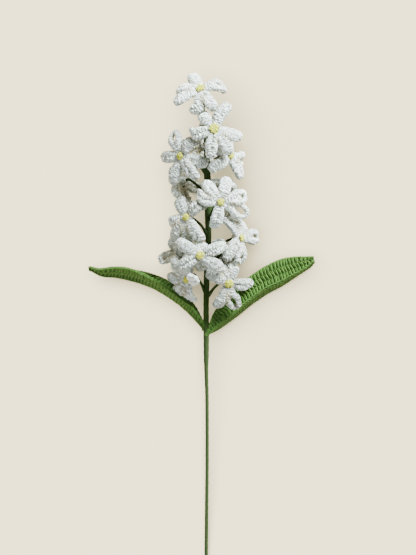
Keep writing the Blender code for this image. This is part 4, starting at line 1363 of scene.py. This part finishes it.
class HYACINTH_OT_centres(bpy.types.Operator):
    """Work the fifteen yellow centres"""

    bl_idname = "hyacinth.work_centres"
    bl_label = "Work Centres"

    def execute(self, context):
        sizes, colours = context.scene.hyacinth_sizes, context.scene.hyacinth_colours
        finish = yarn_finish("yellow_cotton_yarn", paint(colours.centre), paint(colours.centre_shade),
                             paint(colours.centre_painted_shade), lay=1.2, relief=0.12, grain=1.5)
        for index, floret in enumerate(FLORETS):
            piece = work_centre(index + 1, floret, sizes, finish)
            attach(piece, "root")
            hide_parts(f"centre_{index + 1:02d}")
        return {"FINISHED"}


class HYACINTH_OT_leaves(bpy.types.Operator):
    """Work the two green leaves in rows of stitches"""

    bl_idname = "hyacinth.work_leaves"
    bl_label = "Work Leaves"

    def execute(self, context):
        sizes, colours = context.scene.hyacinth_sizes, context.scene.hyacinth_colours
        finish = yarn_finish("green_cotton_yarn", paint(colours.leaf), paint(colours.leaf_shade),
                             paint(colours.leaf_painted_shade), lay=1.6, relief=0.1, sheen=0.03, grain=1.5)
        for name, rails in LEAVES.items():
            piece = work_leaf(name, rails, sizes, finish)
            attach(piece, "root")
            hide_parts(name)
        return {"FINISHED"}


class HYACINTH_OT_stem(bpy.types.Operator):
    """Wind the stem and its stalks in tape and finish the wire inside"""

    bl_idname = "hyacinth.wind_stem"
    bl_label = "Wind Stem"

    def execute(self, context):
        colours = context.scene.hyacinth_colours
        finish = tape_finish("green_floral_tape", paint(colours.tape_spike), paint(colours.tape_below))
        piece = work_stem(finish)
        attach(piece, "root")
        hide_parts("stem_tape")
        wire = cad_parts["stem_wire"]
        wire.data.materials.clear()
        wire.data.materials.append(wire_finish("drawn_steel_wire", paint(colours.wire)))
        return {"FINISHED"}


class HYACINTH_OT_stage(bpy.types.Operator):
    """Set the pale floor, the soft lights and the camera that looks down on the flower"""

    bl_idname = "hyacinth.set_stage"
    bl_label = "Set Stage"

    def execute(self, context):
        colours = context.scene.hyacinth_colours
        mesh = bpy.data.meshes.new("floor")
        corners = ((-1, -1), (1, -1), (1, 1), (-1, 1))
        corners = [(x * FLOOR_REACH, y * FLOOR_REACH, 0.0) for x, y in corners]
        mesh.from_pydata(corners, [], [(0, 1, 2, 3)])
        floor = bpy.data.objects.new("floor", mesh)
        context.scene.collection.objects.link(floor)
        recipe = Recipe("pale_floor")
        recipe.surface(base_color=paint(colours.floor), roughness=0.9)
        mesh.materials.append(recipe.material)
        for name, look in LIGHTS.items():
            set_light(name, floor, *look)
        world = bpy.data.worlds.new("studio")
        world.use_nodes = True
        background = world.node_tree.nodes["Background"]
        background.inputs["Color"].default_value = SKY_COLOUR
        background.inputs["Strength"].default_value = SKY_STRENGTH
        context.scene.world = world
        camera = bpy.data.objects.new("camera", bpy.data.cameras.new("camera"))
        camera.location = CAMERA_PLACE
        camera.data.lens = CAMERA_LENS
        camera.data.sensor_width = CAMERA_SENSOR
        context.scene.collection.objects.link(camera)
        context.scene.camera = camera
        return {"FINISHED"}


def set_light(name, floor, place, colour, kind, on_floor, settings):
    """A soft light that looks at the flower, and lights the floor alone or all but the floor."""
    light = bpy.data.lights.new(name, kind)
    light.color = colour
    for setting, value in settings.items():
        setattr(light, setting, value)
    lamp = bpy.data.objects.new(name, light)
    lamp.location = place
    away = lamp.location.copy()
    away.y -= LIGHTS_AIM_Y
    lamp.rotation_euler = away.to_track_quat("Z", "Y").to_euler()
    bpy.context.scene.collection.objects.link(lamp)
    lit = bpy.data.collections.new(f"{name}_reach")
    lit.objects.link(floor)
    lit.collection_objects[0].light_linking.link_state = on_floor
    lamp.light_linking.receiver_collection = lit


class HYACINTH_PT_panel(bpy.types.Panel):
    """Lists the steps, the sizes and the colours of the flower"""

    bl_idname = "HYACINTH_PT_panel"
    bl_label = "Crocheted Hyacinth"
    bl_space_type = "VIEW_3D"
    bl_region_type = "UI"
    bl_category = "Hyacinth"

    def draw(self, context):
        layout = self.layout
        for step in STEPS:
            layout.operator(step.bl_idname)
        for group in (context.scene.hyacinth_sizes, context.scene.hyacinth_colours):
            box = layout.box()
            for label in group.bl_rna.properties.keys():
                if label not in ("rna_type", "name"):
                    box.prop(group, label)


STEPS = (HYACINTH_OT_stage, HYACINTH_OT_stem, HYACINTH_OT_leaves, HYACINTH_OT_florets,
         HYACINTH_OT_centres)
CLASSES = (HyacinthSizes, HyacinthColours, *STEPS, HYACINTH_PT_panel)


def register():
    """Register the classes and the scene's properties."""
    for each in CLASSES:
        bpy.utils.register_class(each)
    bpy.types.Scene.hyacinth_sizes = bpy.props.PointerProperty(type=HyacinthSizes)
    bpy.types.Scene.hyacinth_colours = bpy.props.PointerProperty(type=HyacinthColours)


def unregister():
    """Take the scene's properties and the classes away again."""
    del bpy.types.Scene.hyacinth_colours
    del bpy.types.Scene.hyacinth_sizes
    for each in reversed(CLASSES):
        bpy.utils.unregister_class(each)


def main():
    """Dress the frame from stage to centres."""
    register()
    bpy.ops.hyacinth.set_stage()
    bpy.ops.hyacinth.wind_stem()
    bpy.ops.hyacinth.work_leaves()
    bpy.ops.hyacinth.work_florets()
    bpy.ops.hyacinth.work_centres()


if __name__ == "__main__":
    main()
